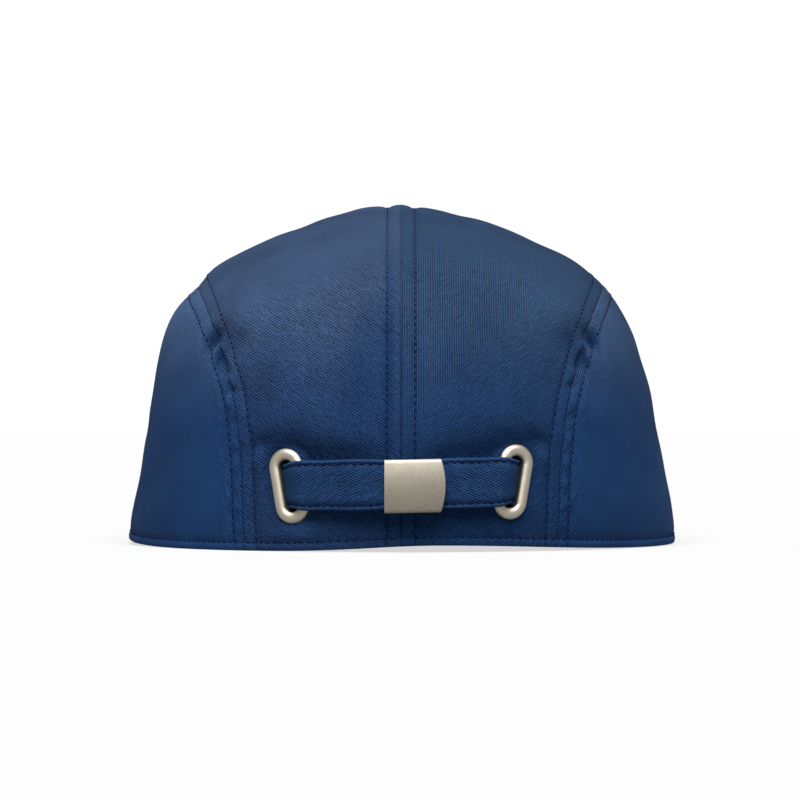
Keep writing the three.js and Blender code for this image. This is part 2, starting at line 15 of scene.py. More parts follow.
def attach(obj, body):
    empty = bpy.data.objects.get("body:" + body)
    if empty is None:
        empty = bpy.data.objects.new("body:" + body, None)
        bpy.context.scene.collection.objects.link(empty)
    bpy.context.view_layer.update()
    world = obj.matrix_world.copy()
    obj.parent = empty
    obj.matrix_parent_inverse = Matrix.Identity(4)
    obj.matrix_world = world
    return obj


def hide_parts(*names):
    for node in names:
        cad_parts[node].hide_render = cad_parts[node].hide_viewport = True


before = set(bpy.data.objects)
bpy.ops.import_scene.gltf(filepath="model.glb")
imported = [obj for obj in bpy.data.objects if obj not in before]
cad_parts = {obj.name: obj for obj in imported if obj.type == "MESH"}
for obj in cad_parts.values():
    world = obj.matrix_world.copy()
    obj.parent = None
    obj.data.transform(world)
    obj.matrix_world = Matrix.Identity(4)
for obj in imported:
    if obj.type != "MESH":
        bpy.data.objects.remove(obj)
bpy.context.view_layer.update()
MM = 0.001  # the frame is in metres, and a cap is easier to think of in millimetres
print("nodes in the frame:", len(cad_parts))


def put_in_scene(name, data):
    thing = bpy.data.objects.new(name, data)
    bpy.context.scene.collection.objects.link(thing)
    return thing



# %% [markdown]
# ## Camera
# The photograph is taken level, from straight behind and about halfway up the crown, with a long
# lens: the hem shows hardly any curve. So the camera stands 1.6 m behind the crown's middle, at
# the height where the real one stood, and looks level along the cap.

# %% Camera
CROWN_Y = -29.775  # the crown's middle lies behind the frame's origin, which is mid-cap
CAMERA_X, CAMERA_AWAY, EYE = -0.33, 1600, 46.6
SENSOR = 36
LENS_PIXELS, PICTURE_PIXELS = 4899, 800  # the lens, as long as so many of the picture's pixels
camera_data = bpy.data.cameras.new("photo_camera")
camera_data.sensor_width = SENSOR
camera_data.lens = SENSOR * LENS_PIXELS / PICTURE_PIXELS
camera_data.clip_end = 20
camera = put_in_scene("photo_camera", camera_data)
camera.location = Vector((CAMERA_X, CROWN_Y - CAMERA_AWAY, EYE)) * MM
camera.rotation_euler = (math.radians(90), 0, 0)
bpy.context.scene.camera = camera
print("camera at", tuple(round(v, 3) for v in camera.location), "lens", round(camera_data.lens, 1))

# %% [markdown]
# ## The crown's form
# A sewn crown is a smooth shell. It could be sculpted by hand, but every panel, seam and stitch
# has to lie on the same surface, so the surface is written down once: three profiles, for the
# side, the back and the front, are blended round the crown. Any place on it is then two numbers,
# kept on a flat disc with the top of the crown at its middle and the hem as its rim.

# %% Profiles from the hem to the top, as reach and height in millimetres
SIDE_PROFILE = [(88.8, 0), (88.1, 10), (85.4, 24), (82.3, 43), (79.1, 59), (76, 69), (70.5, 79),
                (61.5, 89), (52.3, 94.6), (35.2, 102.2), (17.5, 107.7), (0, 109.6)]
BACK_PROFILE = [(101.5, 0), (102.4, 13), (102, 27), (99.8, 43), (95, 59), (86.5, 74), (73.5, 88),
                (56, 98.5), (36, 105.3), (17, 108.7), (0, 109.6)]
FRONT_PROFILE = [(100, 0), (99, 15), (96.5, 31), (92.5, 48), (87, 64), (79, 79), (67, 91.5),
                 (51, 101), (33, 106.8), (16, 109), (0, 109.6)]
EVEN_SHARES = np.linspace(0, 1, 900)
PROFILE_SHARES = np.concatenate([[-0.1], EVEN_SHARES])  # and a straight stretch below the hem


def smooth_profile(rows):
    """A smooth line through the rows that arrives level at the top."""
    points = np.array(rows, float)
    ends = np.vstack([2 * points[0] - points[1], points, points[-2] * [-1, 1]])
    chords = np.linalg.norm(np.diff(ends, axis=0), axis=1)[:, None]
    before, after = chords[:-1], chords[1:]
    into, away = (ends[1:-1] - ends[:-2]) / before, (ends[2:] - ends[1:-1]) / after
    slopes = (into * after + away * before) / (before + after)
    marks = np.concatenate([[0], np.cumsum(chords[1:-1])])
    want = EVEN_SHARES * marks[-1]
    i = np.clip(np.searchsorted(marks, want, "right") - 1, 0, len(points) - 2)
    span = (marks[i + 1] - marks[i])[:, None]
    w = (want - marks[i])[:, None] / span
    line = (2 * w**3 - 3 * w**2 + 1) * points[i] + (w**3 - 2 * w**2 + w) * span * slopes[i]
    line += (3 * w**2 - 2 * w**3) * points[i + 1] + (w**3 - w**2) * span * slopes[i + 1]
    return np.vstack([line[0] - 0.1 * (line[1] - line[0]) / EVEN_SHARES[1], line])


side_line, back_line, front_line = (
    smooth_profile(rows) for rows in (SIDE_PROFILE, BACK_PROFILE, FRONT_PROFILE)
)
print("the side profile ends at", side_line[-1].round(2))

# %% The crown as a surface, and as a disc
HEM_WAVES = [(-95, 24, 1.9), (95, 20, 0.8)]  # degrees round the crown, width in degrees, rise in mm


def degrees_from(around, middle):
    return np.degrees((around - math.radians(middle) + math.pi) % (2 * math.pi) - math.pi)


def crown_point(around, up):
    """A point of the plain crown: radians from the back centre, and share of the way up."""
    around, up = np.broadcast_arrays(np.asarray(around, float), np.asarray(up, float))
    (side_x, side_z), (back_x, back_z), (front_x, front_z) = (
        [np.interp(up, PROFILE_SHARES, line[:, k]) for k in (0, 1)]
        for line in (side_line, back_line, front_line)
    )
    sideways, forwards = np.sin(around), -np.cos(around)
    end_z = np.where(forwards < 0, back_z, front_z)
    # the hem rides up a little at the back, more to the right than to the left
    turn = degrees_from(around, 7)
    lift = 2 * np.exp(-((turn / np.where(turn < 0, 19, 32)) ** 2)) * np.clip(1 - up / 0.3, 0, None) ** 2
    # and it waves up at both sides, where nothing presses it on the floor
    for middle, width, rise in HEM_WAVES:
        wave = rise * np.exp(-((degrees_from(around, middle) / width) ** 2))
        lift = lift + wave * np.clip(1 - up / 0.2, 0, 1) ** 2
    x = side_x * sideways
    y = CROWN_Y + (front_x - back_x) / 2 + (front_x + back_x) / 2 * forwards
    return np.stack([x, y, side_z * sideways**2 + end_z * forwards**2 + lift], -1)


def on_disc(around, up):
    return np.stack([(1 - up) * np.sin(around), -(1 - up) * np.cos(around)], -1)


def from_disc(place):
    x, y = place[..., 0], place[..., 1]
    return crown_point(np.arctan2(x, -y), 1 - np.hypot(x, y))


def unit(vectors):
    return vectors / np.maximum(np.linalg.norm(vectors, axis=-1, keepdims=True), 1e-9)


def crown_slopes(place, step=1e-3):
    """How the crown's point moves with the place on the disc: two tangents."""
    right = from_disc(place + [step, 0]) - from_disc(place - [step, 0])
    ahead = from_disc(place + [0, step]) - from_disc(place - [0, step])
    return right / (2 * step), ahead / (2 * step)


def crown_normal(place):
    return unit(np.cross(*crown_slopes(place)))


def nearest_place(points, place):
    """The place on the disc whose crown point is nearest to each point, from a first guess."""
    for _ in range(6):
        right, ahead = crown_slopes(place)
        gap = points - from_disc(place)
        a, b, c = (right * right).sum(-1), (right * ahead).sum(-1), (ahead * ahead).sum(-1)
        p, q = (gap * right).sum(-1), (gap * ahead).sum(-1)
        place = place + np.stack([c * p - b * q, a * q - b * p], -1) / (a * c - b * b)[..., None]
    return place


def marks_along(points):
    """How far along a line each of its points lies."""
    return np.concatenate([[0], np.cumsum(np.linalg.norm(np.diff(points, axis=0), axis=1))])


print("top of the crown", crown_point(0.0, 1.0).round(1), "hem behind", crown_point(0.0, 0.0).round(1))

# %% [markdown]
# ## Seams
# The photograph shows where the panels meet: a centre seam, and two side seams that rise from the
# hem, turn over the shoulders and run forwards. The front panel, which it doesn't show, closes the
# crown. Each seam is a smooth line on the disc, so the panels on both sides share it exactly.

# %% Seam lines on the disc
SIDE_SEAM = [(32.8, 0), (34.2, 0.09), (36.2, 0.18), (38.6, 0.26), (42.6, 0.335), (48.4, 0.405),
             (56.5, 0.47), (69, 0.522), (86, 0.553), (107, 0.565), (128, 0.56)]
SHOULDER_SHARE = 0.7  # how far along it the seam has turned over the shoulder
FRONT_SEAM = 128.0  # degrees round the crown, where the front panel begins
SILL = 3.9  # the front panel's lower edge lies on the bill


def smooth_line(points, shares):
    """A smooth line through points, evenly timed."""
    points = np.asarray(points, float)
    at = np.clip(shares, 0, 1) * (len(points) - 1)
    i = np.minimum(at.astype(int), len(points) - 2)
    w = (at - i)[..., None]
    p0, p1, p2, p3 = (points[np.clip(i + k, 0, len(points) - 1)] for k in (-1, 0, 1, 2))
    v0, v1 = (p2 - p0) / 2, (p3 - p1) / 2
    return (2 * p1 - 2 * p2 + v0 + v1) * w**3 + (3 * p2 - 3 * p1 - 2 * v0 - v1) * w**2 + v0 * w + p1


side_seam_places = [on_disc(math.radians(around), up) for around, up in SIDE_SEAM]


def side_seam(side, start=0.0, end=1.0):
    return lambda t: smooth_line(side_seam_places, start + (end - start) * t) * [side, 1]


def straight(start, end):
    return lambda t: start + (np.asarray(end) - start) * np.asarray(t)[..., None]


def hem_arc(start, end, up=0.0):
    return lambda t: on_disc(np.radians(start + (end - start) * np.asarray(t)), up)


one = np.array(1.0)
front_corner = {side: side_seam(side)(one) for side in (-1, 1)}
top_middle = (front_corner[-1] + front_corner[1]) / 2
hem_front_up = SILL / marks_along(front_line[1:])[-1]
seams = {
    "centre": straight(on_disc(0.0, 0.0), top_middle),
    "side_left": side_seam(-1),
    "side_right": side_seam(1),
    "top": straight(front_corner[-1], front_corner[1]),
    "front_left": straight(on_disc(-math.radians(FRONT_SEAM), 0.0), front_corner[-1]),
    "front_right": straight(on_disc(math.radians(FRONT_SEAM), 0.0), front_corner[1]),
}
seam_points = {name: from_disc(line(np.linspace(0, 1, 241))) for name, line in seams.items()}
hem_points = from_disc(hem_arc(-FRONT_SEAM, FRONT_SEAM)(np.linspace(0, 1, 481)))
for name, points in seam_points.items():
    print(f"{name} seam is {marks_along(points)[-1]:.0f} mm long")

# %% [markdown]
# ## How the cloth lies
# Sewn cloth is never as smooth as its pattern. A seam has folded edges inside, so the strip
# beside it stands up, and each row of stitches pulls the cloth into a valley, in little puffs
# where it is eased in. Where the side seams turn, the photograph shows puckers, and over the
# eyelets long soft hollows. All of this is one field of heights over the crown, so that
# neighbouring panels agree along their seam.

# %% Dents and swells, as the photograph shows them
# round the crown in degrees, share of the way up, half sizes in mm, turn in degrees, height in mm
DENTS = [
    # where the outline departs from the smooth form
    (-84, 0.47, 26, 12, 0, 0.9),  # the left shoulder stands out, the right one lies flatter
    (82, 0.48, 26, 14, 0, -0.9),
    (-88, 0.14, 36, 17, 0, -0.6),  # the left wall leans in and the right wall out
    (88, 0.14, 36, 17, 0, 0.5),
    (-78, 0.79, 25, 6, 0, -0.6),
    (-81, 0.70, 25, 6, 0, -0.1),
    (-60, 0.915, 14, 5, 0, 0.75),
    (72, 0.875, 20, 6, 0, -0.75),
    (81, 0.70, 24, 8, 0, -0.75),
    (84, 0.59, 20, 7, 0, -0.6),
    (87, 0.375, 20, 9, 0, -0.6),
    (87, 0.24, 20, 8, 0, -0.35),
    (88, 0.02, 26, 5, 0, 0.4),
    (-86, 0.55, 14, 4.5, 0, -1.2),
    (-86, 0.515, 14, 5, 0, -0.5),
    (-86, 0.30, 20, 9, 0, -0.35),
    (-88, 0.24, 16, 4.5, 0, -0.45),
    (-86, 0.07, 24, 9, 0, -0.35),
    (35, 0.953, 14, 2.2, 55, -0.45),
    # puckers where the left side seam turns over the shoulder
    (-49.8, 0.404, 4.4, 4.2, 10, -2.1),
    (-47.0, 0.384, 2.6, 1.8, -25, 0.8),
    (-44.6, 0.350, 5.6, 2.2, -46, -1.5),
    (-41.3, 0.350, 3.0, 2.6, 0, 0.5),
    (-41.1, 0.398, 4.6, 4.6, 0, -0.9),
    (-46.6, 0.432, 4.0, 4.0, 0, -0.6),
    (-41.4, 0.320, 2.3, 2.0, 0, 0.6),
    (-40.5, 0.297, 2.2, 1.2, 0, -0.9),
    (-40.6, 0.279, 2.3, 1.9, 0, 0.5),
    (-39.1, 0.238, 2.0, 1.3, 0, -0.9),
    # and on the right shoulder
    (50.8, 0.408, 4.4, 4.2, -10, -2.1),
    (46.3, 0.386, 3.0, 1.8, 25, 0.8),
    (45.0, 0.352, 5.6, 2.2, 46, -1.5),
    (42.2, 0.398, 4.6, 4.6, 0, -0.9),
    (46.5, 0.432, 4.0, 4.0, 0, -0.6),
    (42.1, 0.332, 2.4, 1.9, 0, 0.6),
    (40.8, 0.306, 2.2, 1.3, 0, -0.8),
    (39.4, 0.245, 2.0, 1.3, 0, -0.9),
    # the strap pulls the cloth in over the eyelets and along its upper edge
    (-24.8, 0.168, 12, 7.0, -3, -2.8),
    (-31.5, 0.196, 4.5, 2.4, 20, -0.9),
    (-12.5, 0.158, 13, 5.6, -4, -2.0),
    (24.2, 0.168, 12, 7.0, 3, -2.8),
    (31.0, 0.200, 4.5, 2.4, -20, -0.9),
    (10.5, 0.156, 13, 5.4, 4, -1.9),
    (-31.6, 0.166, 3.0, 4.0, 0, 1.5),
    (31.2, 0.168, 3.0, 4.0, 0, 1.5),
    (-21.2, 0.040, 8, 3.0, 8, 0.6),
    # small crease in the left wall and shallow hollows in the back panels
    (-99.0, 0.216, 10, 2.2, 0, -0.7),
    (-31.9, 0.298, 9, 8, 0, -0.5),
    (20, 0.33, 12, 10, 10, -0.2),
]


def crown_frame(around, up, turn=0):
    """A point of the crown, with directions along and across a patch there, and outwards."""
    place = on_disc(math.radians(around), up)
    normal = crown_normal(place)
    sideways = unit(np.cross([0, 0, 1], normal))
    upwards = np.cross(normal, sideways)
    c, s = math.cos(math.radians(turn)), math.sin(math.radians(turn))
    return from_disc(place), c * sideways + s * upwards, c * upwards - s * sideways, normal


dent_frames = [crown_frame(around, up, turn) for around, up, _, _, turn, _ in DENTS]
print(len(DENTS), "dents and swells")

# %% Slow waves in the cloth
dice = np.random.default_rng(5)
WAVES = [(unit(dice.normal(size=3)) * 2 * math.pi / dice.uniform(17, 46), dice.uniform(0, 6.28))
         for _ in range(14)]


def slow_waves(points):
    """Gentle unevenness, from about -1 to 1, with waves some 17 to 46 mm long."""
    return sum(np.sin(points @ direction + phase) for direction, phase in WAVES) / 4.5


def bump_at(distance, middle, width):
    return np.exp(-(((distance - middle) / width) ** 2))


def along_line(points, line):
    """Distance of each point from a line, and how far along the line its nearest point lies."""
    starts, steps = line[:-1], np.diff(line, axis=0)
    lengths, marks = np.linalg.norm(steps, axis=1), marks_along(line)
    distance, along = np.empty(len(points)), np.empty(len(points))
    for first in range(0, len(points), 4000):
        part = points[first:first + 4000]
        away = part[:, None] - starts
        share = np.clip((away * steps).sum(-1) / lengths**2, 0, 1)
        gaps = np.linalg.norm(away - share[..., None] * steps, axis=-1)
        best = gaps.argmin(1)
        rows = np.arange(len(part))
        distance[first:first + 4000] = gaps[rows, best]
        along[first:first + 4000] = marks[best] + share[rows, best] * lengths[best]
    return distance, along


# %% The height of the cloth over the plain crown
TOPSTITCH = 4.4  # each row of stitches lies this far from its seam
HEM_TURN = 2.6  # the hem's row of stitches is this high
STITCH_PITCH = 2.4
PUFF_PITCH = 6.4  # the photograph's ladder of little puffs between a side seam and its row
FAR = 99.0  # a distance in mm that is out of every seam's reach


def seam_height(name, distance, along, puffs):
    """Height beside a seam: a groove at the seam, a raised strip, and the valley of the stitches."""
    ripple = puffs * np.sin(2 * math.pi * along / PUFF_PITCH + 1.1 * np.sin(along / 9.0))
    ripple += 0.05 + 0.04 * np.sin(along / 6.1 + len(name))  # each seam in its own phase
    height = 0.26 * bump_at(distance, 0, 2.8) + ripple * bump_at(distance, 2.2, 1.3)
    height -= (0.40 + 0.08 * np.sin(along / 7.7)) * bump_at(distance, TOPSTITCH, 0.95)
    height += (0.08 + 0.08 * np.sin(along / 11.0)) * bump_at(distance, 7.4, 2.2)
    if name != "centre":
        # pulled flat where the seam turns over the shoulder
        return height * (1 - 0.7 * np.clip((along - 50) / 16, 0, 1)) - 0.3 * bump_at(distance, 0, 0.34)
    # towards the top the centre seam's allowances pile up, and its ridge is one round fold
    over_top = np.clip((along - 138) / 22, 0, 1)
    height += 0.42 * over_top * bump_at(distance, 0, 2.6)
    return height - 0.3 * (1 - over_top) * bump_at(distance, 0, 0.34)


def cloth_height(points, up_mm, side_strips=False):
    """Height of the outer face over the plain crown, and the nearest row of stitches."""
    height = 0.16 * slow_waves(points)
    for (middle, along, across, normal), (_, _, wide, tall, _, rise) in zip(dent_frames, DENTS):
        away = points - middle
        share = ((away @ along) / wide) ** 2 + ((away @ across) / tall) ** 2
        height += rise * np.exp(-share - ((away @ normal) / max(wide, tall)) ** 2)
    best, best_along = np.full(len(points), FAR), np.zeros(len(points))
    fade = np.clip((up_mm - 1.0) / 4.0, 0, 1)
    for name, line in seam_points.items():
        distance, along = along_line(points, line)
        puffs = 0.02
        if name.startswith("side"):
            puffs = 0.24 if side_strips else 0.05
        height += seam_height(name, distance, along, puffs) * (0.35 + 0.65 * fade)
        off_row = np.abs(distance - TOPSTITCH)
        nearer = off_row < best
        best, best_along = np.where(nearer, off_row, best), np.where(nearer, along, best_along)
    return height, best, best_along


def hem_height(up_mm, along):
    """The turned hem: a rounded lip below its row of stitches."""
    lip = 0.28 * bump_at(up_mm, 1.4, 1.3) + 0.05 * np.sin(along / 5.0) * bump_at(up_mm, 2.0, 1.6)
    return lip - 0.26 * bump_at(up_mm, HEM_TURN, 0.8) + 0.06 * bump_at(up_mm, 6, 2)


print("over a seam, its strip and its row:", seam_height("side", np.array([0, 2.3, 4.4]), 0, 0).round(2))

# %% [markdown]
# ## Cutting a panel
# On the real cap each panel is a flat cut of twill, sewn to its neighbours. Here every panel is
# a flat grid that gets a thickness with Solidify, and whose points are then moved to their places:
# its four edges are the seams and the hem, and the inside is blended between them. Columns and
# rows stand close together near the seams, where the cloth bends most.

# %% A flat slab, with the column, row and layer of each of its points


def flat_slab(columns, rows, layers=2):
    """A grid as a bmesh, and for each point its column, its row and if it's in the front layer."""
    slab = bmesh.new()
    bmesh.ops.create_grid(slab, x_segments=columns - 1, y_segments=rows - 1, size=0.5)
    if layers == 2:
        bmesh.ops.solidify(slab, geom=slab.faces[:], thickness=0.25)
        bmesh.ops.recalc_face_normals(slab, faces=slab.faces[:])
    flat = np.array([vert.co[:] for vert in slab.verts])
    middle = (flat[:, 2].min() + flat[:, 2].max()) / 2
    column = np.rint((flat[:, 0] + 0.5) * (columns - 1)).astype(int)
    row = np.rint((flat[:, 1] + 0.5) * (rows - 1)).astype(int)
    return slab, column, row, flat[:, 2] > middle


def spread(length, start, end, step):
    """Distances from 0 to length: close ones at both ends, and even steps between."""
    inner_start, inner_end = start[-1], length - end[-1]
    count = max(2, round((inner_end - inner_start) / step))
    between = np.linspace(inner_start, inner_end, count + 1)[1:-1]
    return np.concatenate([start, between, length - np.array(end)[::-1]])


SEAM_STEPS = [0, 0.15, 0.35, 0.6, 1.0, 1.5, 2.0, 2.6, 3.2, 3.8, 4.4, 5.0, 5.6, 6.3, 7.2, 8.2]
HEM_STEPS = [0, 0.25, 0.6, 1.0, 1.5, 2.0, 2.5, 2.9, 3.3, 3.7, 4.2, 5.0, 6.0, 7.0]
small_slab = flat_slab(4, 3)[0]
print("a 4 by 3 slab has", len(small_slab.verts), "points and", len(small_slab.faces), "faces")
small_slab.free()

# %% Patches of the crown between four edges


def patch_between(bottom, top, left, right):
    """Blends four edges of the disc, which meet at their ends, over the patch inside them."""
    zero = np.array(0.0)
    corners = bottom(zero), bottom(one), top(zero), top(one)

    def place(u, v):
        u1, v1 = u[..., None], v[..., None]
        blend = bottom(u) * (1 - v1) + top(u) * v1 + left(v) * (1 - u1) + right(v) * u1
        blend = blend - corners[0] * (1 - u1) * (1 - v1) - corners[1] * u1 * (1 - v1)
        return blend - corners[2] * (1 - u1) * v1 - corners[3] * u1 * v1

    return place


def patch_grid(patch, step=1.1):
    """Places for a grid of points on a patch, with their distances across and up in mm."""
    samples = np.linspace(0, 1, 121)
    up_marks = marks_along(from_disc(patch(np.full_like(samples, 0.5), samples)))
    ups = spread(up_marks[-1], HEM_STEPS, SEAM_STEPS, step)
    v = np.interp(ups, up_marks, samples)
    marks = [marks_along(from_disc(patch(samples, np.full_like(samples, share)))) for share in v]
    count = len(spread(max(m[-1] for m in marks), SEAM_STEPS, SEAM_STEPS, step))
    between = count - 2 * len(SEAM_STEPS)
    u = np.empty((len(v), count))
    across = np.empty_like(u)
    for r, m in enumerate(marks):
        inner = np.linspace(SEAM_STEPS[-1], m[-1] - SEAM_STEPS[-1], between + 2)[1:-1]
        across[r] = np.concatenate([SEAM_STEPS, inner, m[-1] - np.array(SEAM_STEPS)[::-1]])
        u[r] = np.interp(across[r], m, samples)
    return patch(u, np.repeat(v[:, None], count, 1)), across, np.repeat(ups[:, None], count, 1)


patches = {}
for side, word in ((-1, "left"), (1, "right")):
    patches["back_panel_" + word] = patch_between(
        hem_arc(0, side * SIDE_SEAM[0][0]),
        straight(top_middle, front_corner[side]),
        straight(on_disc(0.0, 0.0), top_middle),
        side_seam(side),
    )
    patches["side_panel_" + word] = patch_between(
        hem_arc(side * SIDE_SEAM[0][0], side * FRONT_SEAM),
        side_seam(side, SHOULDER_SHARE, 1),
        side_seam(side, 0, SHOULDER_SHARE),
        straight(on_disc(side * math.radians(FRONT_SEAM), 0.0), front_corner[side]),
    )
hem_corner = {side: on_disc(side * math.radians(FRONT_SEAM), hem_front_up) for side in (-1, 1)}
patches["front_panel"] = patch_between(
    hem_arc(FRONT_SEAM, 360 - FRONT_SEAM, hem_front_up),
    straight(front_corner[1], front_corner[-1]),
    straight(hem_corner[1], front_corner[1]),
    straight(hem_corner[-1], front_corner[-1]),
)
print("patches:", ", ".join(patches))

# %% [markdown]
# ## The back wall as a flat frame
# The strap, the eyelets and the buckle are placed by their distance along the back wall, their
# height, and how far they stand off the cloth. This is the same frame as in the solid model, so
# the detailed pieces lie exactly where the plain ones do.

# %% Places on the back wall
BACK_UP = 0.12
BACK_SPAN = 60
STRAP_HEIGHT, STRAP_SLOPE = 20.75, 0.018
wall_line = crown_point(np.radians(np.linspace(-BACK_SPAN, BACK_SPAN, 481)), BACK_UP)
wall_marks = marks_along(wall_line)
wall_marks = wall_marks - wall_marks[-1] / 2


def back_place(along, height):
    """The disc place of a point of the back wall, by distance from its middle and height."""
    x = np.interp(along, wall_marks, wall_line[:, 0])
    low, high = np.zeros_like(x), np.full_like(x, 0.5)
    for _ in range(24):
        middle = (low + high) / 2
        reach = np.interp(middle, PROFILE_SHARES, side_line[:, 0])
        around = np.arcsin(np.clip(x / reach, -1, 1))
        below = crown_point(around, middle)[..., 2] < height
        low, high = np.where(below, middle, low), np.where(below, high, middle)
    around = np.arcsin(np.clip(x / np.interp(low, PROFILE_SHARES, side_line[:, 0]), -1, 1))
    return on_disc(around, low)


def off_back(along, height, out):
    along, height, out = np.broadcast_arrays(*(np.asarray(v, float) for v in (along, height, out)))
    place = back_place(along, height)
    return from_disc(place) + crown_normal(place) * out[..., None]


def strap_height(along):
    return STRAP_HEIGHT + STRAP_SLOPE * np.asarray(along)


print("the strap's middle:", off_back(0, strap_height(0), 5).round(1))

# %% [markdown]
# ## Eyelet holes
# Each back panel has an oblong hole, cut before its eyelet was set. The hole's edge is hidden
# under the eyelet's rim, so it is enough to take out the faces inside the oblong, in both layers,
# and to bridge the two open loops.

# %% The eyelet's oblong
EYELET_ALONG, EYELET_LENGTH, EYELET_WIDTH, EYELET_BAND, EYELET_LEAN = 35.5, 23.3, 11.7, 3.6, 10.8
EYELET_RADIUS = (EYELET_WIDTH - EYELET_BAND) / 2
EYELET_STRAIGHT = (EYELET_LENGTH - EYELET_WIDTH) / 2


def leaned(side, flat):
    """The tops of both eyelets lean towards the sides."""
    turn = -side * math.radians(EYELET_LEAN)
    c, s = math.cos(turn), math.sin(turn)
    return flat @ np.array([[c, s], [-s, c]])


def from_eyelet_line(side, along, height):
    """Distance of wall points from the middle line of an eyelet's band, negative inside it."""
    flat = np.stack([along - side * EYELET_ALONG, height - strap_height(side * EYELET_ALONG)], -1)
    upright = leaned(-side, flat)
    upright[:, 1] -= np.clip(upright[:, 1], -EYELET_STRAIGHT, EYELET_STRAIGHT)
    return np.linalg.norm(upright, axis=1) - EYELET_RADIUS


def cut_hole(panel, side, wall_flat):
    """Takes the faces inside the eyelet's barrel out of both layers and closes the rim."""
    panel.verts.index_update()
    inside = from_eyelet_line(side, wall_flat[:, 0], wall_flat[:, 1]) < -0.75
    doomed = [face for face in panel.faces if all(inside[vert.index] for vert in face.verts)]
    bmesh.ops.delete(panel, geom=doomed, context="FACES")
    open_edges = [edge for edge in panel.edges if edge.is_boundary]
    bmesh.ops.bridge_loops(panel, edges=open_edges)
    return len(doomed)


# %% [markdown]
# ## Weave directions
# Twill has slanting ribs, called wales. The photograph shows them falling to the right on the
# left back panel and rising to the right on the right one, where above a slanting line the
# upright warp shows instead; on the sides they are steeper. A UV map called weave holds, in
# metres, the distance across and along the wales, so one cloth material serves every piece
# whatever way it was cut.

# %% How each piece of cloth is cut: the slope of its wales in degrees
WALE_SLOPES = {
    "back_panel_left": -32,
    "back_panel_right": 31,
    "side_panel_left": 45,
    "side_panel_right": 45,
    "front_panel": -33,
    "bill": -35,
    "strap_left": 25,
    "strap_right": -25,
}


def weave_uv(name, flat):
    """Metres across and along the wales, from a place on the flat cloth in mm."""
    slope = math.radians(WALE_SLOPES[name])
    along = flat[:, 0] * math.cos(slope) + flat[:, 1] * math.sin(slope)
    across = -flat[:, 0] * math.sin(slope) + flat[:, 1] * math.cos(slope)
    return np.stack([across, along], -1) * MM


def write_on(piece, **fields):
    """Writes each field to the piece: pairs of numbers as a UV map, and numbers as an attribute."""
    mesh = piece.data
    corner_verts = np.empty(len(mesh.loops), int)
    mesh.loops.foreach_get("vertex_index", corner_verts)
    for name, per_vertex in fields.items():
        per_vertex = per_vertex.astype(np.float32)
        if per_vertex.ndim == 2:
            mesh.uv_layers.new(name=name).data.foreach_set("uv", per_vertex[corner_verts].ravel())
        else:
            mesh.attributes.new(name, "FLOAT", "POINT").data.foreach_set("value", per_vertex)


# %% From a bmesh to a finished piece


def finish_piece(name, shape, material, replaces=False, sharp=50):
    """Makes an object from a bmesh, riding on the cap, that may replace the node of its name."""
    mesh = bpy.data.meshes.new(name)
    shape.to_mesh(mesh)
    shape.free()
    mesh.polygons.foreach_set("use_smooth", np.ones(len(mesh.polygons), bool))
    mesh.set_sharp_from_angle(angle=math.radians(sharp))
    mesh.materials.append(material)
    piece = put_in_scene(name, mesh)
    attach(piece, "root")
    if replaces:
        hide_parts(name)
    print(f"{name}: {len(mesh.vertices)} points, {len(mesh.polygons)} faces")
    return piece


def place_slab(slab, points):
    """Moves every vertex of a slab to its point, in mm, and turns the faces outwards."""
    for vert, point in zip(slab.verts, points * MM):
        vert.co = point
    if slab.calc_volume(signed=True) < 0:
        bmesh.ops.reverse_faces(slab, faces=slab.faces[:])


# %% [markdown]
# ## Node helper and colours
# The materials below are node networks. One small function adds a node, sets it up and links it.
# In a Mix node, inputs 2 and 3 are its two numbers, and 6 and 7 its two colours.
# Colours are picked in sRGB, as a paint program shows them, and turned to linear light.

# %% Helpers for materials


def add_node(material, kind, inputs=None, **settings):
    """One node. An input is a value, a socket to link from, or a node to link its first output."""
    tree = material.node_tree
    node = tree.nodes.new("ShaderNode" + kind)
    for key, value in settings.items():
        setattr(node, key, value)
    for key, value in (inputs or {}).items():
        if isinstance(value, bpy.types.Node):
            value = value.outputs[0]
        if isinstance(value, bpy.types.NodeSocket):
            tree.links.new(value, node.inputs[key])
        else:
            node.inputs[key].default_value = value
    return node


def linear(hex_colour):
    """sRGB hex to linear light, with alpha."""
    parts = [int(hex_colour[i:i + 2], 16) / 255 for i in (1, 3, 5)]
    light = [p / 12.92 if p <= 0.04045 else ((p + 0.055) / 1.055) ** 2.4 for p in parts]
    return (*light, 1.0)


def new_material(name):
    material = bpy.data.materials.new(name)
    material.use_nodes = True
    material.node_tree.nodes.clear()
    return material


print("navy in linear light:", [round(v, 4) for v in linear("#1a3158")])

# %% [markdown]
# ## Brushed cotton twill
# The cloth is dyed navy cotton in a twill weave: slanting wales a bit under a millimetre apart,
# with a short brushed nap. The wales give fine slanting lines, the paler, greyer sheen that the
# nap shows where it is lit from above is painted into the colour towards the top, and dyed
# cotton is never quite even.
# The pattern is a sine across the wales, broken by streaks along them and by fine fuzz.

# %% Twill material
WALE_MM = 0.73  # spacing of the wales, and of the upright warp lines, in the photograph


def lines_across(m, distance, wander):
    """A sine with one crest for each wale, whose phase wanders a little."""
    phase = add_node(m, "Math", {0: distance, 1: 2 * math.pi / (WALE_MM * MM)}, operation="MULTIPLY")
    shifted = add_node(m, "Math", {0: wander, 1: 3.0, 2: phase}, operation="MULTIPLY_ADD")
    return add_node(m, "Math", {0: shifted}, operation="SINE")


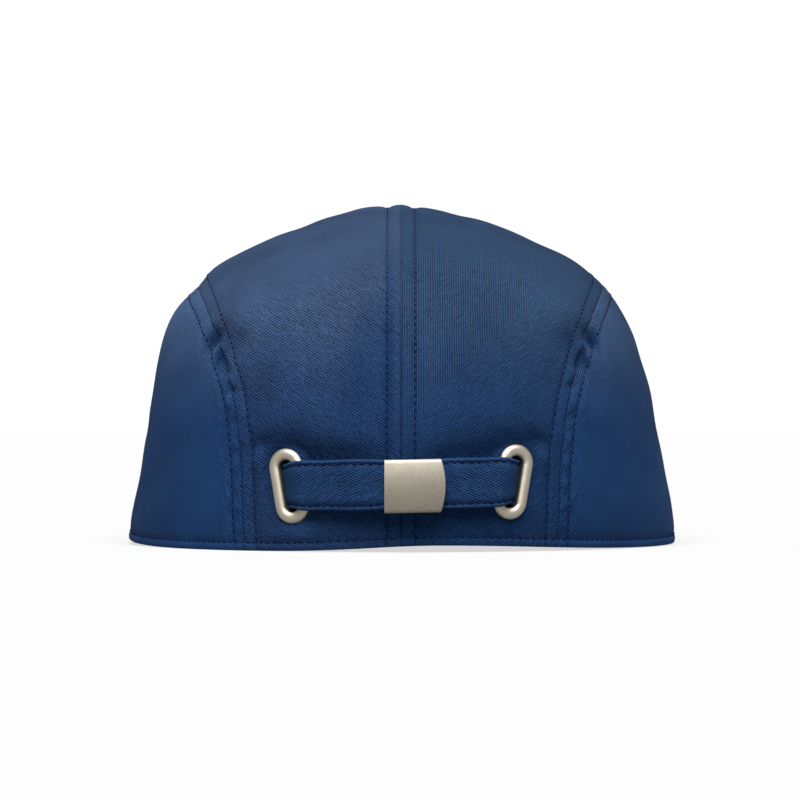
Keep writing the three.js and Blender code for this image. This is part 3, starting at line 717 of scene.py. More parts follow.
def woven_threads(m, weave, fuzz, upright):
    """Light and dark of the wales, their floats, streaks and fuzz, about nought."""
    split = add_node(m, "SeparateXYZ", {0: weave})
    # the wales wander a little: noise some 9 mm across shifts their phase
    wander = add_node(m, "TexNoise", {"Vector": weave, "Scale": 110.0, "Detail": 3.0})
    wales = lines_across(m, split, wander)
    if upright:
        # beside the centre seam the warp shows more than the wales: turn the map back to upright
        slope = math.radians(WALE_SLOPES["back_panel_right"])
        part = add_node(m, "Math", {0: split.outputs[1], 1: math.cos(slope)}, operation="MULTIPLY")
        level = add_node(m, "Math", {0: split, 1: -math.sin(slope), 2: part}, operation="MULTIPLY_ADD")
        share = add_node(m, "Attribute", attribute_name="upright").outputs["Fac"]
        wales = add_node(m, "Mix", {0: share, 2: wales, 3: lines_across(m, level, wander)})
    # floats are short threads, 0.7 mm wide and 1.6 mm long, some of them sunk, and streaks are
    # uneven yarns, about 0.5 mm wide and 4 mm long
    stretched = [
        add_node(m, "Mapping", {"Vector": weave, "Scale": scale})
        for scale in ((1400.0, 620.0, 1.0), (2000.0, 260.0, 1.0))
    ]
    floats, streaks = (
        add_node(m, "TexNoise", {"Vector": flat, "Scale": 1.0, "Detail": detail})
        for flat, detail in zip(stretched, (1.0, 2.0))
    )
    sunk = add_node(m, "Math", {0: floats, 1: 3.4, 2: -1.0}, operation="MULTIPLY_ADD")
    broken = add_node(m, "Math", {0: wales, 1: sunk}, operation="MULTIPLY")
    threads = -0.85
    for part, share in ((broken, 0.55), (streaks, 0.8), (fuzz, 0.9)):
        threads = add_node(m, "Math", {0: part, 1: share, 2: threads}, operation="MULTIPLY_ADD")
    return threads


def needle_holes(m, shown):
    """The cloth is pinched once for each stitch, close to its row: 1 at a needle hole."""
    split = add_node(m, "SeparateXYZ", {0: add_node(m, "UVMap", uv_map="rows")})
    near_row = add_node(m, "MapRange", {
        "Value": split, "From Min": 0.1 * MM, "From Max": 0.7 * MM, "To Min": 1.0, "To Max": 0.0,
    }, interpolation_type="SMOOTHSTEP")
    turns = 2 * math.pi / (STITCH_PITCH * MM)
    beat = add_node(m, "Math", {0: split.outputs[1], 1: turns}, operation="MULTIPLY")
    pinch = add_node(m, "Math", {0: beat}, operation="COSINE")
    pulled = add_node(m, "Math", {0: pinch, 1: 0.5, 2: 0.5}, operation="MULTIPLY_ADD")
    at_hole = add_node(m, "Math", {0: pulled, 1: near_row}, operation="MULTIPLY")
    return add_node(m, "Math", {0: at_hole, 1: shown}, operation="MULTIPLY")


def twill(name, deep, sheen_top, contrast, upright=False):
    """Twill of one shade near the hem and a paler painted sheen over the top, light and dark by contrast."""
    m = new_material(name)
    weave = add_node(m, "UVMap", uv_map="weave")
    place = add_node(m, "TexCoord").outputs["Object"]
    relief, nap, flat = (
        add_node(m, "Attribute", attribute_name=written).outputs["Fac"]
        for written in ("relief", "nap", "brushed_flat")
    )
    fuzz = add_node(m, "TexNoise", {"Vector": place, "Scale": 1500.0, "Detail": 3.0})
    mottle = add_node(m, "TexNoise", {"Vector": place, "Scale": 70.0, "Detail": 4.0})
    # where the nap is brushed flat, over the top and on the side walls, hardly any weave shows
    shown = add_node(m, "Math", {0: flat, 1: -0.9, 2: 1.0}, operation="MULTIPLY_ADD")
    threads = woven_threads(m, weave, fuzz, upright)
    weave_part = add_node(m, "Math", {0: threads, 1: shown}, operation="MULTIPLY")
    pinched = needle_holes(m, shown)
    # the tone: clouds, the weave, painted shade in the needle holes, and painted light and shade by the
    # relief: ridges paler, hollows darker
    cloudy = add_node(m, "Math", {0: mottle, 1: 0.3, 2: 0.35}, operation="MULTIPLY_ADD")
    tone = add_node(m, "Math", {0: weave_part, 1: cloudy}, operation="ADD")
    for part, share in ((pinched, -0.1), (relief, 0.2)):
        tone = add_node(m, "Math", {0: part, 1: share, 2: tone}, operation="MULTIPLY_ADD")
    # painted sheen: the colour turns paler and greyer over the shoulders and the top
    height = add_node(m, "SeparateXYZ", {0: place}).outputs["Z"]
    painted_sheen_share = add_node(m, "MapRange", {
        "Value": height, "From Min": 36 * MM, "From Max": 80 * MM,
    }, interpolation_type="SMOOTHSTEP")
    dye = add_node(m, "Mix", {0: painted_sheen_share, 6: linear(deep), 7: linear(sheen_top)}, data_type="RGBA")
    # painted bounce light: hollows and painted shade turn bluer, as if lit by the blue cloth around them
    sunk_in = add_node(m, "Math", {0: relief, 1: -0.13, 2: -0.05}, operation="MULTIPLY_ADD")
    painted_bounce_share = add_node(m, "Math", {0: nap, 1: -1.1, 2: sunk_in}, operation="MULTIPLY_ADD")
    bluer = add_node(m, "Mix", {0: painted_bounce_share, 6: dye.outputs[2], 7: linear("#1a457c")}, data_type="RGBA")
    # from the darkest to the palest thread, and painted patches of light and shade
    thread_tone = add_node(m, "MapRange", {"Value": tone, "To Min": 1 - contrast, "To Max": 1 + contrast})
    painted_light_tone = add_node(m, "Math", {0: nap, 1: 1.0}, operation="ADD")
    both = add_node(m, "Math", {0: thread_tone, 1: painted_light_tone}, operation="MULTIPLY")
    colour_with_painted_light = add_node(m, "VectorMath", {0: bluer.outputs[2], "Scale": both}, operation="SCALE")
    # the bump: wales about 0.08 mm high, streaks and fuzz finer
    higher = add_node(m, "Math", {0: pinched, 1: -0.9, 2: weave_part}, operation="MULTIPLY_ADD")
    bump = add_node(m, "Bump", {"Height": higher, "Strength": 0.6, "Distance": 0.12 * MM})
    cloth = add_node(m, "BsdfPrincipled", {
        "Base Color": colour_with_painted_light, "Roughness": 0.85, "Specular IOR Level": 0.03, "Sheen Weight": 0.04,
        "Sheen Roughness": 0.5, "Sheen Tint": linear("#8ea8d4"), "Normal": bump,
    })
    add_node(m, "OutputMaterial", {"Surface": cloth})
    return m


panel_twill = twill("brushed_cotton_twill", "#20375c", "#30405b", 0.72)
# painted shade: the right back panel gets a darker copy of the same cloth, as it looks darker in the light
# than the left one
shaded_twill = twill("twill_painted_darker", "#1c355a", "#273a54", 0.6, upright=True)
# painted light: the side panels get a bluer copy of the same cloth, toned to how the light falls on them
side_toned_twill = twill("twill_down_the_nap", "#1d3a63", "#394e6e", 0.75)
strap_twill = twill("strap_twill", "#1e365a", "#2e3f5a", 0.85)
bill_twill = twill("bill_cover_twill", "#1f365b", "#2e3f5a", 0.72)
print("cloth materials:", panel_twill.name, strap_twill.name, bill_twill.name)

# %% [markdown]
# ## The five panels
# Each panel is made from its slab. The front layer lies at the height of the cloth field. The
# back layer lies one cloth thickness inside the plain crown, and follows the front layer inwards
# where that is pressed in, so the raised strips don't show inside. At the turned hem the wall is
# thicker, because the cloth is doubled there.

# %% Painted light and shade, in soft patches: round the crown, way up, half sizes in mm, share paler or darker
PAINTED_LIGHT = [
    # painted light and shade over the back panels: paler towards the shoulders, darker beside the centre seam
    (-27.6, 0.455, 24, 20, 0.22),
    (-8.5, 0.345, 7, 28, -0.34),
    (-2.6, 0.34, 2.6, 36, -0.40),
    (2.6, 0.34, 2.0, 30, -0.08),
    (6.0, 0.345, 4, 28, 0.1),
    (36.6, 0.50, 15, 12, 0.18),
    (-39, 0.455, 12, 9, 0.25),
    (42, 0.455, 12, 9, 0.22),
    # the puckers at the shoulders, which face away from the light
    (-50.8, 0.407, 3.0, 3.6, -0.55),
    (-46.3, 0.364, 2.2, 3.6, -0.5),
    (-48.2, 0.390, 1.6, 1.4, 0.35),
    (-43.2, 0.415, 4.6, 5.2, -0.35),
    (52.0, 0.408, 3.0, 3.6, -0.55),
    (47.3, 0.360, 2.2, 3.6, -0.5),
    (48.9, 0.384, 1.6, 1.4, 0.35),
    (43.4, 0.405, 4.6, 5.2, -0.35),
    # painted light: paler over the shoulders
    (-58, 0.52, 10, 8, 0.12),
    (58, 0.52, 10, 8, 0.15),
    # in the shade of the strap, and a pale spot at the hem under it
    (12, 0.055, 28, 7, -0.40),
    (-14, 0.065, 20, 4.5, -0.25),
    (-20.5, 0.038, 6.5, 3.0, 0.55),
]

# height over the floor where the weave disappears, from left to right across the back, in mm
SHOWN_UP_TO = [(-61, 77), (-52, 78), (-36, 82), (-20, 88), (-4, 90), (4, 97), (25, 95), (40, 88), (55, 78)]
painted_light_frames = [crown_frame(around, up) for around, up, _, _, _ in PAINTED_LIGHT]


def brushed_flat(name, points, to_seam):
    """How far the nap hides the weave, from 0 to 1."""
    if name.startswith("side"):
        return 1 - np.exp(-((to_seam / 11) ** 2))
    over = points[:, 2] - np.interp(points[:, 0], *np.transpose(SHOWN_UP_TO))
    share = np.clip(over / 20 + 0.62, 0, 1)
    return share**2 * (3 - 2 * share)


def painted_light_patches(points):
    nap = np.zeros(len(points))
    for (middle, along, across, _), (_, _, wide, tall, amount) in zip(painted_light_frames, PAINTED_LIGHT):
        away = points - middle
        nap += amount * np.exp(-(((away @ along) / wide) ** 2) - ((away @ across) / tall) ** 2)
    return nap


# height on the cloth for each height over the floor: the cloth's own length, but at most 1.8 times
LEVELS = np.linspace(-2, 112, 400)
back_length = marks_along(back_line[1:])
steepness = np.gradient(back_line[1:, 1], back_length)
eased_up = np.interp(LEVELS, back_line[1:, 1], np.cumsum(np.maximum(steepness, 0.55)) * back_length[1])
print("the cloth goes up", round(float(eased_up[-1])), "mm over the back")

# %% Panels
CLOTH, HEM_CLOTH = 1.4, 2.2


def make_panel(name, sill):
    """One sewn panel, with its weave and its rows of stitches in UV maps."""
    kind, word = name.split("_")[0], name.split("_")[-1]
    side = -1 if word == "left" else 1
    place, across, up = patch_grid(patches[name])
    rows, columns = place.shape[:2]
    slab, column, row, front = flat_slab(columns, rows)
    index = row * columns + column
    order = slab.verts.layers.int.new("order")
    for number, vert in enumerate(slab.verts):
        vert[order] = number
    middle = across.mean(1).repeat(columns)
    place, across, up = place.reshape(-1, 2), across.ravel(), up.ravel()
    points, normals = from_disc(place), crown_normal(place)
    over_hem, along_hem = along_line(points, hem_points) if sill is None else (up + FAR, up)
    height, off_row, along_row = cloth_height(points, over_hem, kind == "side")
    height += hem_height(over_hem, along_hem)
    if kind == "back":
        # held by the eyelet, the cloth stays near its rim
        wall_flat = np.stack([np.interp(points[:, 0], wall_line[:, 0], wall_marks), points[:, 2]], -1)
        beyond = from_eyelet_line(side, *wall_flat.T) - EYELET_BAND / 2
        height = np.maximum(height, -1.7 - 0.7 * np.maximum(beyond, 0))
    on_hem = np.abs(over_hem - HEM_TURN) < off_row
    off_row = np.where(on_hem, np.abs(over_hem - HEM_TURN), off_row)
    along_row = np.where(on_hem, along_hem, along_row)
    outer = points + normals * height[:, None]
    wall = np.where(over_hem <= HEM_TURN + 0.1, HEM_CLOTH, CLOTH)
    # the inner face follows the dents, so the cloth is nowhere thinner than it is cut
    inner = points + normals * (np.minimum(height, 0) - wall)[:, None]
    lowest = up <= 1e-6
    outer[lowest, 2] = inner[lowest, 2] = points[lowest][:, 2] if sill is None else sill
    place_slab(slab, np.where(front[:, None], outer[index], inner[index]))
    if kind == "back":
        # only the back wall counts, not the crown in front of it
        wall_flat[points[:, 1] > -95, 1] = FAR
        print(name, "hole:", cut_hole(slab, side, wall_flat[index]), "faces")
    kept = np.array([vert[order] for vert in slab.verts])
    cloth = shaded_twill if name == "back_panel_right" else side_toned_twill if kind == "side" else panel_twill
    piece = finish_piece(name, slab, cloth, True)
    if kind == "back":
        # the gores are cut on a slant and eased in, so the wales stay as far apart as on the wall
        flat = np.stack([points[:, 0], np.interp(points[:, 2], LEVELS, eased_up)], -1)
    else:
        flat = np.stack([across - middle, up], -1) * (0.9 if kind == "side" else 1)
    # along a seam the folded edges lie in their own shade
    to_seam = along_line(points, seam_points["side_" + word])[0] if kind != "front" else FAR
    to_centre = np.abs(points[:, 0]) if kind == "back" else FAR
    shade = bump_at(np.minimum(to_seam, to_centre), 0, 0.5) * np.interp(points[:, 2], [60, 82], [0.45, 0.1])
    # painted highlight: the hem's rolled lip is paler, in ragged patches, where it catches the light from
    # above
    ragged = 0.13 + 0.07 * np.sin(along_hem / 1.3) * np.sin(along_hem / 3.7)
    lip_highlight = ragged * np.clip(1 - (over_hem - 0.6) / (HEM_TURN - 1.2), 0, 1) * (over_hem > 0.5)
    fields = {
        "weave": weave_uv(name, flat),
        "rows": np.stack([off_row, along_row], -1) * MM,
        "nap": painted_light_patches(points) - shade + lip_highlight,
        "brushed_flat": brushed_flat(name, points, to_seam),
    }
    if name == "back_panel_right":
        # the warp shows above a slanting line from the buckle to the shoulder
        over_line = (points[:, 2] - 36 - 0.98 * points[:, 0]) / 9 + 0.5
        fields["upright"] = np.clip(over_line, 0, 1)
    write_on(piece, relief=np.where(front, height[index], 0)[kept],
             **{key: field[index][kept] for key, field in fields.items()})


for name in patches:
    make_panel(name, SILL if name == "front_panel" else None)

# %% [markdown]
# ## Stitches
# Every seam is topstitched with navy thread, a row on each side, and the hem has one row. Each
# stitch is a short piece of thread that lies in its valley and dips into the cloth at both ends.
# A long thin ball does that at this size, so each one is an icosphere of twenty faces,
# stretched from needle hole to needle hole.

# %% Thread material
def thread(name, dark, light):
    m = new_material(name)
    place = add_node(m, "TexCoord").outputs["Object"]
    # plies: the thread is twisted about every half millimetre, so it is mottled at that scale
    plies = add_node(m, "TexNoise", {"Vector": place, "Scale": 1500.0, "Detail": 2.0})
    spun = add_node(m, "Mix", {0: plies, 6: linear(dark), 7: linear(light)}, data_type="RGBA")
    # painted sheen: over the shoulders and the top the thread turns paler with the cloth
    height = add_node(m, "SeparateXYZ", {0: place}).outputs["Z"]
    painted_sheen_share = add_node(m, "MapRange", {
        "Value": height, "From Min": 72 * MM, "From Max": 94 * MM, "To Max": 0.8,
    }, interpolation_type="SMOOTHSTEP")
    colour = add_node(m, "Mix", {0: painted_sheen_share, 6: spun.outputs[2], 7: linear("#20334f")}, data_type="RGBA")
    bump = add_node(m, "Bump", {"Height": plies, "Strength": 0.5, "Distance": 0.06 * MM})
    cotton = add_node(m, "BsdfPrincipled", {
        "Base Color": colour.outputs[2], "Roughness": 0.7, "Specular IOR Level": 0.06, "Normal": bump,
    })
    add_node(m, "OutputMaterial", {"Surface": cotton})
    return m


navy_thread = thread("spun_navy_thread", "#050e24", "#0d1f45")

# %% Rows of stitches
STITCH_LENGTH, THREAD = 1.6, 0.5


def row_beside(line, side, offset=TOPSTITCH, samples=361):
    """Disc places of a row beside a seam: side 1 lies to its left as it runs, seen from outside."""
    places = line(np.linspace(0, 1, samples))
    points, normals = from_disc(places), crown_normal(places)
    tangents = unit(np.gradient(points, axis=0))
    return nearest_place(points + np.cross(normals, tangents) * side * offset, places)


def row_stitches(points, pitch=STITCH_PITCH, length=STITCH_LENGTH):
    """Marks of the start and end of each stitch along a row of points."""
    marks = marks_along(points)
    middles = np.arange(pitch / 2, marks[-1] - pitch / 2, pitch)
    slack = dice.normal(0, 0.05, (2, len(middles)))
    return marks, middles - length / 2 + slack[0], middles + length / 2 + slack[1]


def crown_row(places, clearance=3.4, lowest=1.4):
    """Start, end and outward direction of each stitch of a row that stays clear of the seams."""
    marks, starts, ends = row_stitches(from_disc(places))
    found = []
    for at in (starts, ends):
        spot = np.stack([np.interp(at, marks, places[:, k]) for k in (0, 1)], -1)
        plain = from_disc(spot)
        over_hem, along_hem = along_line(plain, hem_points)
        front = np.degrees(np.abs(np.arctan2(spot[:, 0], -spot[:, 1]))) > FRONT_SEAM
        over_hem = np.where(front, FAR, over_hem)
        height = cloth_height(plain, over_hem)[0] + hem_height(over_hem, along_hem)
        found.append(plain + crown_normal(spot) * (height + 0.1)[:, None])
    middle = (found[0] + found[1]) / 2
    clear = np.min([along_line(middle, line)[0] for line in seam_points.values()], axis=0)
    fits = (clear > clearance) & (middle[:, 2] > lowest)
    return found[0][fits], found[1][fits], crown_normal(spot)[fits]


def sew(name, rows):
    """One object with a stitch for each start and end."""
    work = bmesh.new()
    for start, end, out in rows:
        for a, b, n in zip(start, end, out):
            along = Vector(b - a)
            aside = Vector(n).cross(along).normalized()
            outwards = along.cross(aside).normalized()
            turn = Matrix((along.normalized(), aside, outwards)).transposed().to_4x4()
            size = Matrix.Diagonal((along.length / 2 * MM, THREAD / 2 * MM, THREAD / 2 * 0.8 * MM, 1))
            where = Matrix.Translation(Vector((a + b) / 2) * MM)
            bmesh.ops.create_icosphere(work, subdivisions=1, radius=1, matrix=where @ turn @ size)
    finish_piece(name, work, navy_thread, sharp=180)
    print(f"{name}: {sum(len(start) for start, _, _ in rows)} stitches")


sew("seam_stitches", [
    crown_row(row_beside(line, side)) for line in seams.values() for side in (-1, 1)
])

# %% The hem's row
hem_row = row_beside(hem_arc(-FRONT_SEAM, FRONT_SEAM), 1, HEM_TURN, 721)
sew("hem_stitches", [crown_row(hem_row, clearance=0.6, lowest=0)])

# %% [markdown]
# ## Strap
# The strap is a folded band of the same twill, stitched along both edges. Each half comes from
# inside the cap through its eyelet, over the eyelet's inner leg, and along the back to the buckle;
# the left half lies on top there. It is a slab too: columns across the band, rows along its
# route. The stitches draw its edges in a little, in small scallops.

# %% The routes, as distance along the back wall and distance out from the cloth
STRAP_WIDTH, STRAP_THICK = 15.4, 1.5
STRAP_ROW, ROW_VALLEY = 6.15, 1.45  # the stitches from the band's middle, and their valley from its edge
THROUGH_EYELET = [(20, -3.8), (13, -3.8), (8, -3.8), (5.9, -3.84), (4.7, -3.7), (3.6, -3.2), (2.6, -2.3),
                  (1.5, -1.1), (0.3, 0.1), (-0.9, 1.25), (-2.2, 2.1), (-3.6, 2.65), (-5.2, 2.8), (-8, 2.75)]
BUCKLE_ALONG, BUCKLE_LEFT, BUCKLE_RIGHT = 3.8, 8.6, 7.6
LOWER, UPPER = 2.4, 4.25  # how far out each half of the strap lies in the buckle
mouth = BUCKLE_ALONG - BUCKLE_LEFT
ROUTES = {
    -1: [(-(EYELET_ALONG + past), out) for past, out in THROUGH_EYELET]
    + [(-22, 2.9), (-15.5, 3.5), (mouth - 3.5, UPPER - 0.1), (mouth + 1.5, UPPER), (mouth + 8, UPPER),
       (BUCKLE_ALONG + BUCKLE_RIGHT - 1, UPPER)],
    1: [(EYELET_ALONG + past, out) for past, out in THROUGH_EYELET]
    + [(21, 2.6), (14, LOWER), (8, LOWER), (1, LOWER), (mouth + 1, LOWER)],
}


def gathered(along):
    """The strap is a little narrower where it passes the eyelets and the buckle."""
    squeeze = 0.12 * bump_at(along, -EYELET_ALONG, 3.5) + 0.12 * bump_at(along, EYELET_ALONG, 3.5)
    return 1 - squeeze - 0.12 * bump_at(along, BUCKLE_ALONG, 7)


def strap_frame(side, t, wide):
    """Middle of the band and its outward direction, for shares of the route and places across."""
    t, wide = np.broadcast_arrays(t, wide)

    def spine(shares):
        flat = smooth_line(ROUTES[side], np.clip(shares, 0, 1))
        return flat[..., 0], flat[..., 1]

    along, out = spine(t)
    place = back_place(along, strap_height(along))
    normal = crown_normal(place)
    sideways = unit(np.cross([0, 0, 1], normal))
    lean = side * math.tan(math.radians(EYELET_LEAN)) * bump_at(along, side * EYELET_ALONG, 9)
    across = np.cross(normal, sideways) + sideways * lean[..., None]
    ahead, behind = (off_back(a, strap_height(a), o) for a, o in (spine(t + 0.002), spine(t - 0.002)))
    facing = unit(np.cross(ahead - behind, across)) * -side
    up = wide * gathered(along)
    return off_back(along + lean * up, strap_height(along) + up, out), facing, along


def make_strap(side, word):
    half = STRAP_WIDTH / 2
    edge = [0, 0.08, 0.22, 0.45, 0.75, 1.0, 1.25, 1.5, 1.9]
    wides = spread(STRAP_WIDTH, edge, edge, 0.8) - half
    shares = np.linspace(0, 1, 400)
    marks = marks_along(smooth_line(ROUTES[side], shares))
    rows = round(marks[-1] / 0.55)
    s = np.linspace(0, marks[-1], rows)
    t = np.interp(s, marks, shares)
    slab, column, row, front = flat_slab(len(wides), rows)
    w, s_row = wides[column], s[row]
    beat = np.cos(2 * math.pi * s_row / STITCH_PITCH)
    scallop = 0.04 * beat + 0.08 * np.sin(s_row / 3.1)
    middle, facing, along = strap_frame(side, t[row], w * (1 - (0.10 - scallop) / half))
    inset = half - np.abs(w)
    round_edge = np.sqrt(np.clip(1 - (1 - np.clip(inset / 0.75, 0, 1)) ** 2, 0.02, 1))
    thick = STRAP_THICK / 2 * round_edge
    swell = 0.12 * bump_at(inset, 3.6, 2.2) + 0.05 * np.sin(s_row / 2.3 + w / 3) * np.clip(inset / 3, 0, 1)
    lift = swell - (0.40 + 0.03 * beat) * bump_at(inset, ROW_VALLEY, 0.5)
    out = np.where(front, thick + lift, -thick - 0.3 * lift)
    place_slab(slab, middle + facing * out[:, None])
    name = "strap_" + word
    piece = finish_piece(name, slab, strap_twill, True)
    # the weave is rubbed flat along the folds, and where the band bends over the eyelet's leg
    at_bend = np.clip((np.abs(along) - 31.6) / 1.2, 0, 1)
    write_on(
        piece,
        weave=weave_uv(name, np.stack([along, w], -1)),
        rows=np.stack([np.abs(inset - ROW_VALLEY), s_row], -1) * MM,
        relief=lift * 2,
        # painted highlight: the band's rolled edges are paler, where they catch the light
        nap=0.3 * bump_at(inset, 0.5, 0.6),
        brushed_flat=0.85 * np.maximum(bump_at(inset, 0.3, 0.9), at_bend),
    )
    return s, t


def strap_row(side, wide, s, t):
    """Stitches along one edge of the band, on its outer face."""
    middles = np.arange(STITCH_PITCH / 2, s[-1] - 1, STITCH_PITCH)
    ends = []
    for at in (middles - 0.72, middles + 0.72):
        middle, facing, _ = strap_frame(side, np.interp(at, s, t), np.full(len(at), wide))
        ends.append(middle + facing * (STRAP_THICK / 2 - 0.1))
    return *ends, facing


strap_rows = []
for side, word in ((-1, "left"), (1, "right")):
    s, t = make_strap(side, word)
    strap_rows += [strap_row(side, wide, s, t) for wide in (STRAP_ROW, -STRAP_ROW)]
sew("strap_stitches", strap_rows)

# %% [markdown]
# ## Antique nickel
# The eyelets and the buckle are stamped and plated, with an antique finish: warm grey nickel,
# tumbled so that it is satin rather than bright, with small darker specks where the plating is
# toned. Metal needs no IOR of its own here. The specks are noise some 0.7 mm across, with finer
# detail in it.

# %% Metal material
def nickel(name, bright, toned, speck, specks_from):
    m = new_material(name)
    place = add_node(m, "TexCoord").outputs["Object"]
    grain, cloud = (
        add_node(m, "TexNoise", {"Vector": place, "Scale": scale, "Detail": 3.0}) for scale in (1500.0, 330.0)
    )
    # the toning stays where tumbling doesn't reach: low places, and a little in clouds. Partly it is painted
    # reflection: the metal is darker at the edges of its rounded band, for the darker room those edges would
    # mirror
    raised = add_node(m, "Attribute", attribute_name="raised").outputs["Fac"]
    low = add_node(m, "Math", {0: cloud, 1: 0.5, 2: 0.5}, operation="MULTIPLY_ADD")
    left = add_node(m, "Math", {0: low, 1: raised}, operation="SUBTRACT")
    toning_and_dark_reflection = add_node(m, "MapRange", {"Value": left, "From Min": -0.25, "From Max": 0.75})
    base = add_node(m, "Mix", {0: toning_and_dark_reflection, 6: linear(bright), 7: linear(toned)}, data_type="RGBA").outputs[2]
    specks = add_node(m, "MapRange", {
        "Value": grain, "From Min": specks_from, "From Max": specks_from + 0.16, "To Max": 0.42,
    })
    colour = add_node(m, "Mix", {0: specks, 6: base, 7: linear(speck)}, data_type="RGBA").outputs[2]
    rough = add_node(m, "MapRange", {"Value": grain, "To Min": 0.42, "To Max": 0.6})
    bump = add_node(m, "Bump", {"Height": grain, "Strength": 0.3, "Distance": 0.04 * MM})
    metal = add_node(m, "BsdfPrincipled", {
        "Base Color": colour, "Metallic": 1.0, "Roughness": rough, "Normal": bump,
    })
    add_node(m, "OutputMaterial", {"Surface": metal})
    return m


eyelet_nickel = nickel("satin_antique_nickel", "#e8dfcd", "#8d8474", "#b0a690", 0.62)
buckle_nickel = nickel("speckled_antique_nickel", "#c6beae", "#9f9787", "#857c6d", 0.56)

# %% [markdown]
# ## Eyelets
# An oblong ring with a rounded rim, whose barrel goes through the cloth and is rolled over inside.
# A grid is wrapped twice, round the ring's section and along its oblong, and its meeting edges are
# merged, which is how one would bend a rolled section into a ring.

# %% Eyelets
def eyelet_section():
    """Closed outline of the band: share of its width from the middle line, and distance out."""
    dome = [(0.5 * math.cos(a), 0.3 + 1.38 * math.sin(a)) for a in np.linspace(0, math.radians(150), 15)]
    barrel = [(-0.485, 0.6), (-0.5, 0.0), (-0.5, -1.2), (-0.5, -2.3), (-0.4, -2.6), (0.0, -2.6), (0.3, -2.5)]
    behind = [(0.36, -2.25), (0.34, -2.0), (-0.3, -2.0), (-0.3, 0.3), (0.46, 0.3)]
    return np.array(dome + barrel + behind)


def oblong(share, outwards):
    """A path about the eyelet's middle, widened by a distance from its middle line."""
    angle = share * 2 * math.pi
    x = (EYELET_RADIUS + outwards) * np.cos(angle)
    y = (EYELET_RADIUS + outwards) * np.sin(angle) + EYELET_STRAIGHT * np.sign(np.sin(angle))
    return np.stack([x, y], -1)


def make_eyelet(side, word):
    section = eyelet_section()
    steps = 97
    ring, column, row, _ = flat_slab(len(section) + 1, steps, layers=1)
    band, out = section[column % len(section)].T
    flat = leaned(side, oblong(((row % (steps - 1)) + 0.5) / (steps - 1), band * EYELET_BAND))
    along = side * EYELET_ALONG
    place_slab(ring, off_back(along + flat[:, 0], strap_height(along) + flat[:, 1], out))
    order = ring.verts.layers.float.new("raised")
    for vert, height in zip(ring.verts, out):
        vert[order] = min(max((height - 0.4) / 1.1, 0), 1)
    bmesh.ops.remove_doubles(ring, verts=ring.verts[:], dist=1e-6)
    name = "eyelet_" + word
    finish_piece(name, ring, eyelet_nickel, True, sharp=40)


for side, word in ((-1, "left"), (1, "right")):
    make_eyelet(side, word)

# %% [markdown]
# ## Slide buckle
# A strip of sheet metal folded round both straps: a plain face whose right edge is bowed, round
# folds above and below, and two lips behind. The slab follows the folded strip, and a small bevel
# softens its cut edges.

# %% Buckle
BUCKLE_HALF, BUCKLE_FACE, BUCKLE_BACK, FOLD, SLOT = 7.9, 6.05, 0.5, 0.95, 3.0
SHEET_METAL = 0.7
BUCKLE_DROP = 0.55  # the buckle hangs a little lower than the strap's middle


def folded_strip():
    """Outer path of the strip from one back lip to the other, with its outward directions."""
    turn, inner = BUCKLE_HALF - FOLD, BUCKLE_BACK + FOLD
    path = [((SLOT + (turn - SLOT) * k / 4, BUCKLE_BACK), (0, -1)) for k in range(4)]
    for first, steps, middle in ((-90, 6, inner), (0, 8, BUCKLE_FACE - FOLD)):
        for k in range(steps + 1):
            a = math.radians(first + 90 * k / steps)
            c, s = math.cos(a), math.sin(a)
            path.append(((turn + FOLD * c, middle + FOLD * s), (c, s)))
        if first < 0:
            wall = BUCKLE_FACE - BUCKLE_BACK - 2 * FOLD
            path += [((BUCKLE_HALF, inner + wall * k / 4), (1, 0)) for k in range(1, 4)]
    path += [((height, BUCKLE_FACE), (0, 1)) for height in np.linspace(turn, 0, 12)[1:]]
    return np.array(path + [((-h, o), (-nh, no)) for (h, o), (nh, no) in path[-2::-1]])


def make_buckle():
    strip = folded_strip()
    columns, rows = len(strip), 33
    slab, column, row, front = flat_slab(columns, rows)
    spot, out = strip[column, 0], strip[column, 1]
    height, off = np.where(front[:, None], spot, spot - out * SHEET_METAL).T
    bowed = 1 - (height / BUCKLE_HALF) ** 2
    off = off + np.where(off > 3, 0.75 * bowed - 0.5, 0)
    length = BUCKLE_LEFT + BUCKLE_RIGHT + 1.2 * np.clip(bowed, 0, 1)
    along = mouth + length * row / (rows - 1)
    place_slab(slab, off_back(along, strap_height(along) + height - BUCKLE_DROP, off))
    piece = finish_piece("slide_buckle", slab, buckle_nickel, True, sharp=40)
    write_on(piece, raised=np.where(front, np.clip((off - 3) / 3, 0, 1) * 0.8, 0.2))
    edge = piece.modifiers.new("eased_edges", "BEVEL")
    edge.limit_method = "ANGLE"
    edge.angle_limit = math.radians(50)
    edge.width = 0.16 * MM
    edge.segments = 2


make_buckle()

# %% [markdown]
# ## Bill
# The bill is a flat board between two covers of twill, sewn together round its edge and quilted
# with rows of stitches that follow the edge. The photograph doesn't show it, so its outline is
# that of usual flat bills. Its slab runs from the inner edge, under the front panel, to the rim.

# %% The bill's outline
BILL_THICK, BILL_TUCK, BILL_CORNER = 3.6, 3.6, 128.08


def bezier(a, b, c, d, count):
    a, b, c, d = (np.array(p, float) for p in (a, b, c, d))
    t = np.linspace(0, 1, count)[:, None]
    return a * (1 - t) ** 3 + 3 * b * t * (1 - t) ** 2 + 3 * c * t**2 * (1 - t) + d * t**3


def even(points, count):
    """The line again, with evenly spaced points."""
    marks = marks_along(points)
    want = np.linspace(0, marks[-1], count)
    return np.stack([np.interp(want, marks, points[:, k]) for k in range(points.shape[1])], -1)


def before_crown(x, ahead):
    return x, ahead + CROWN_Y


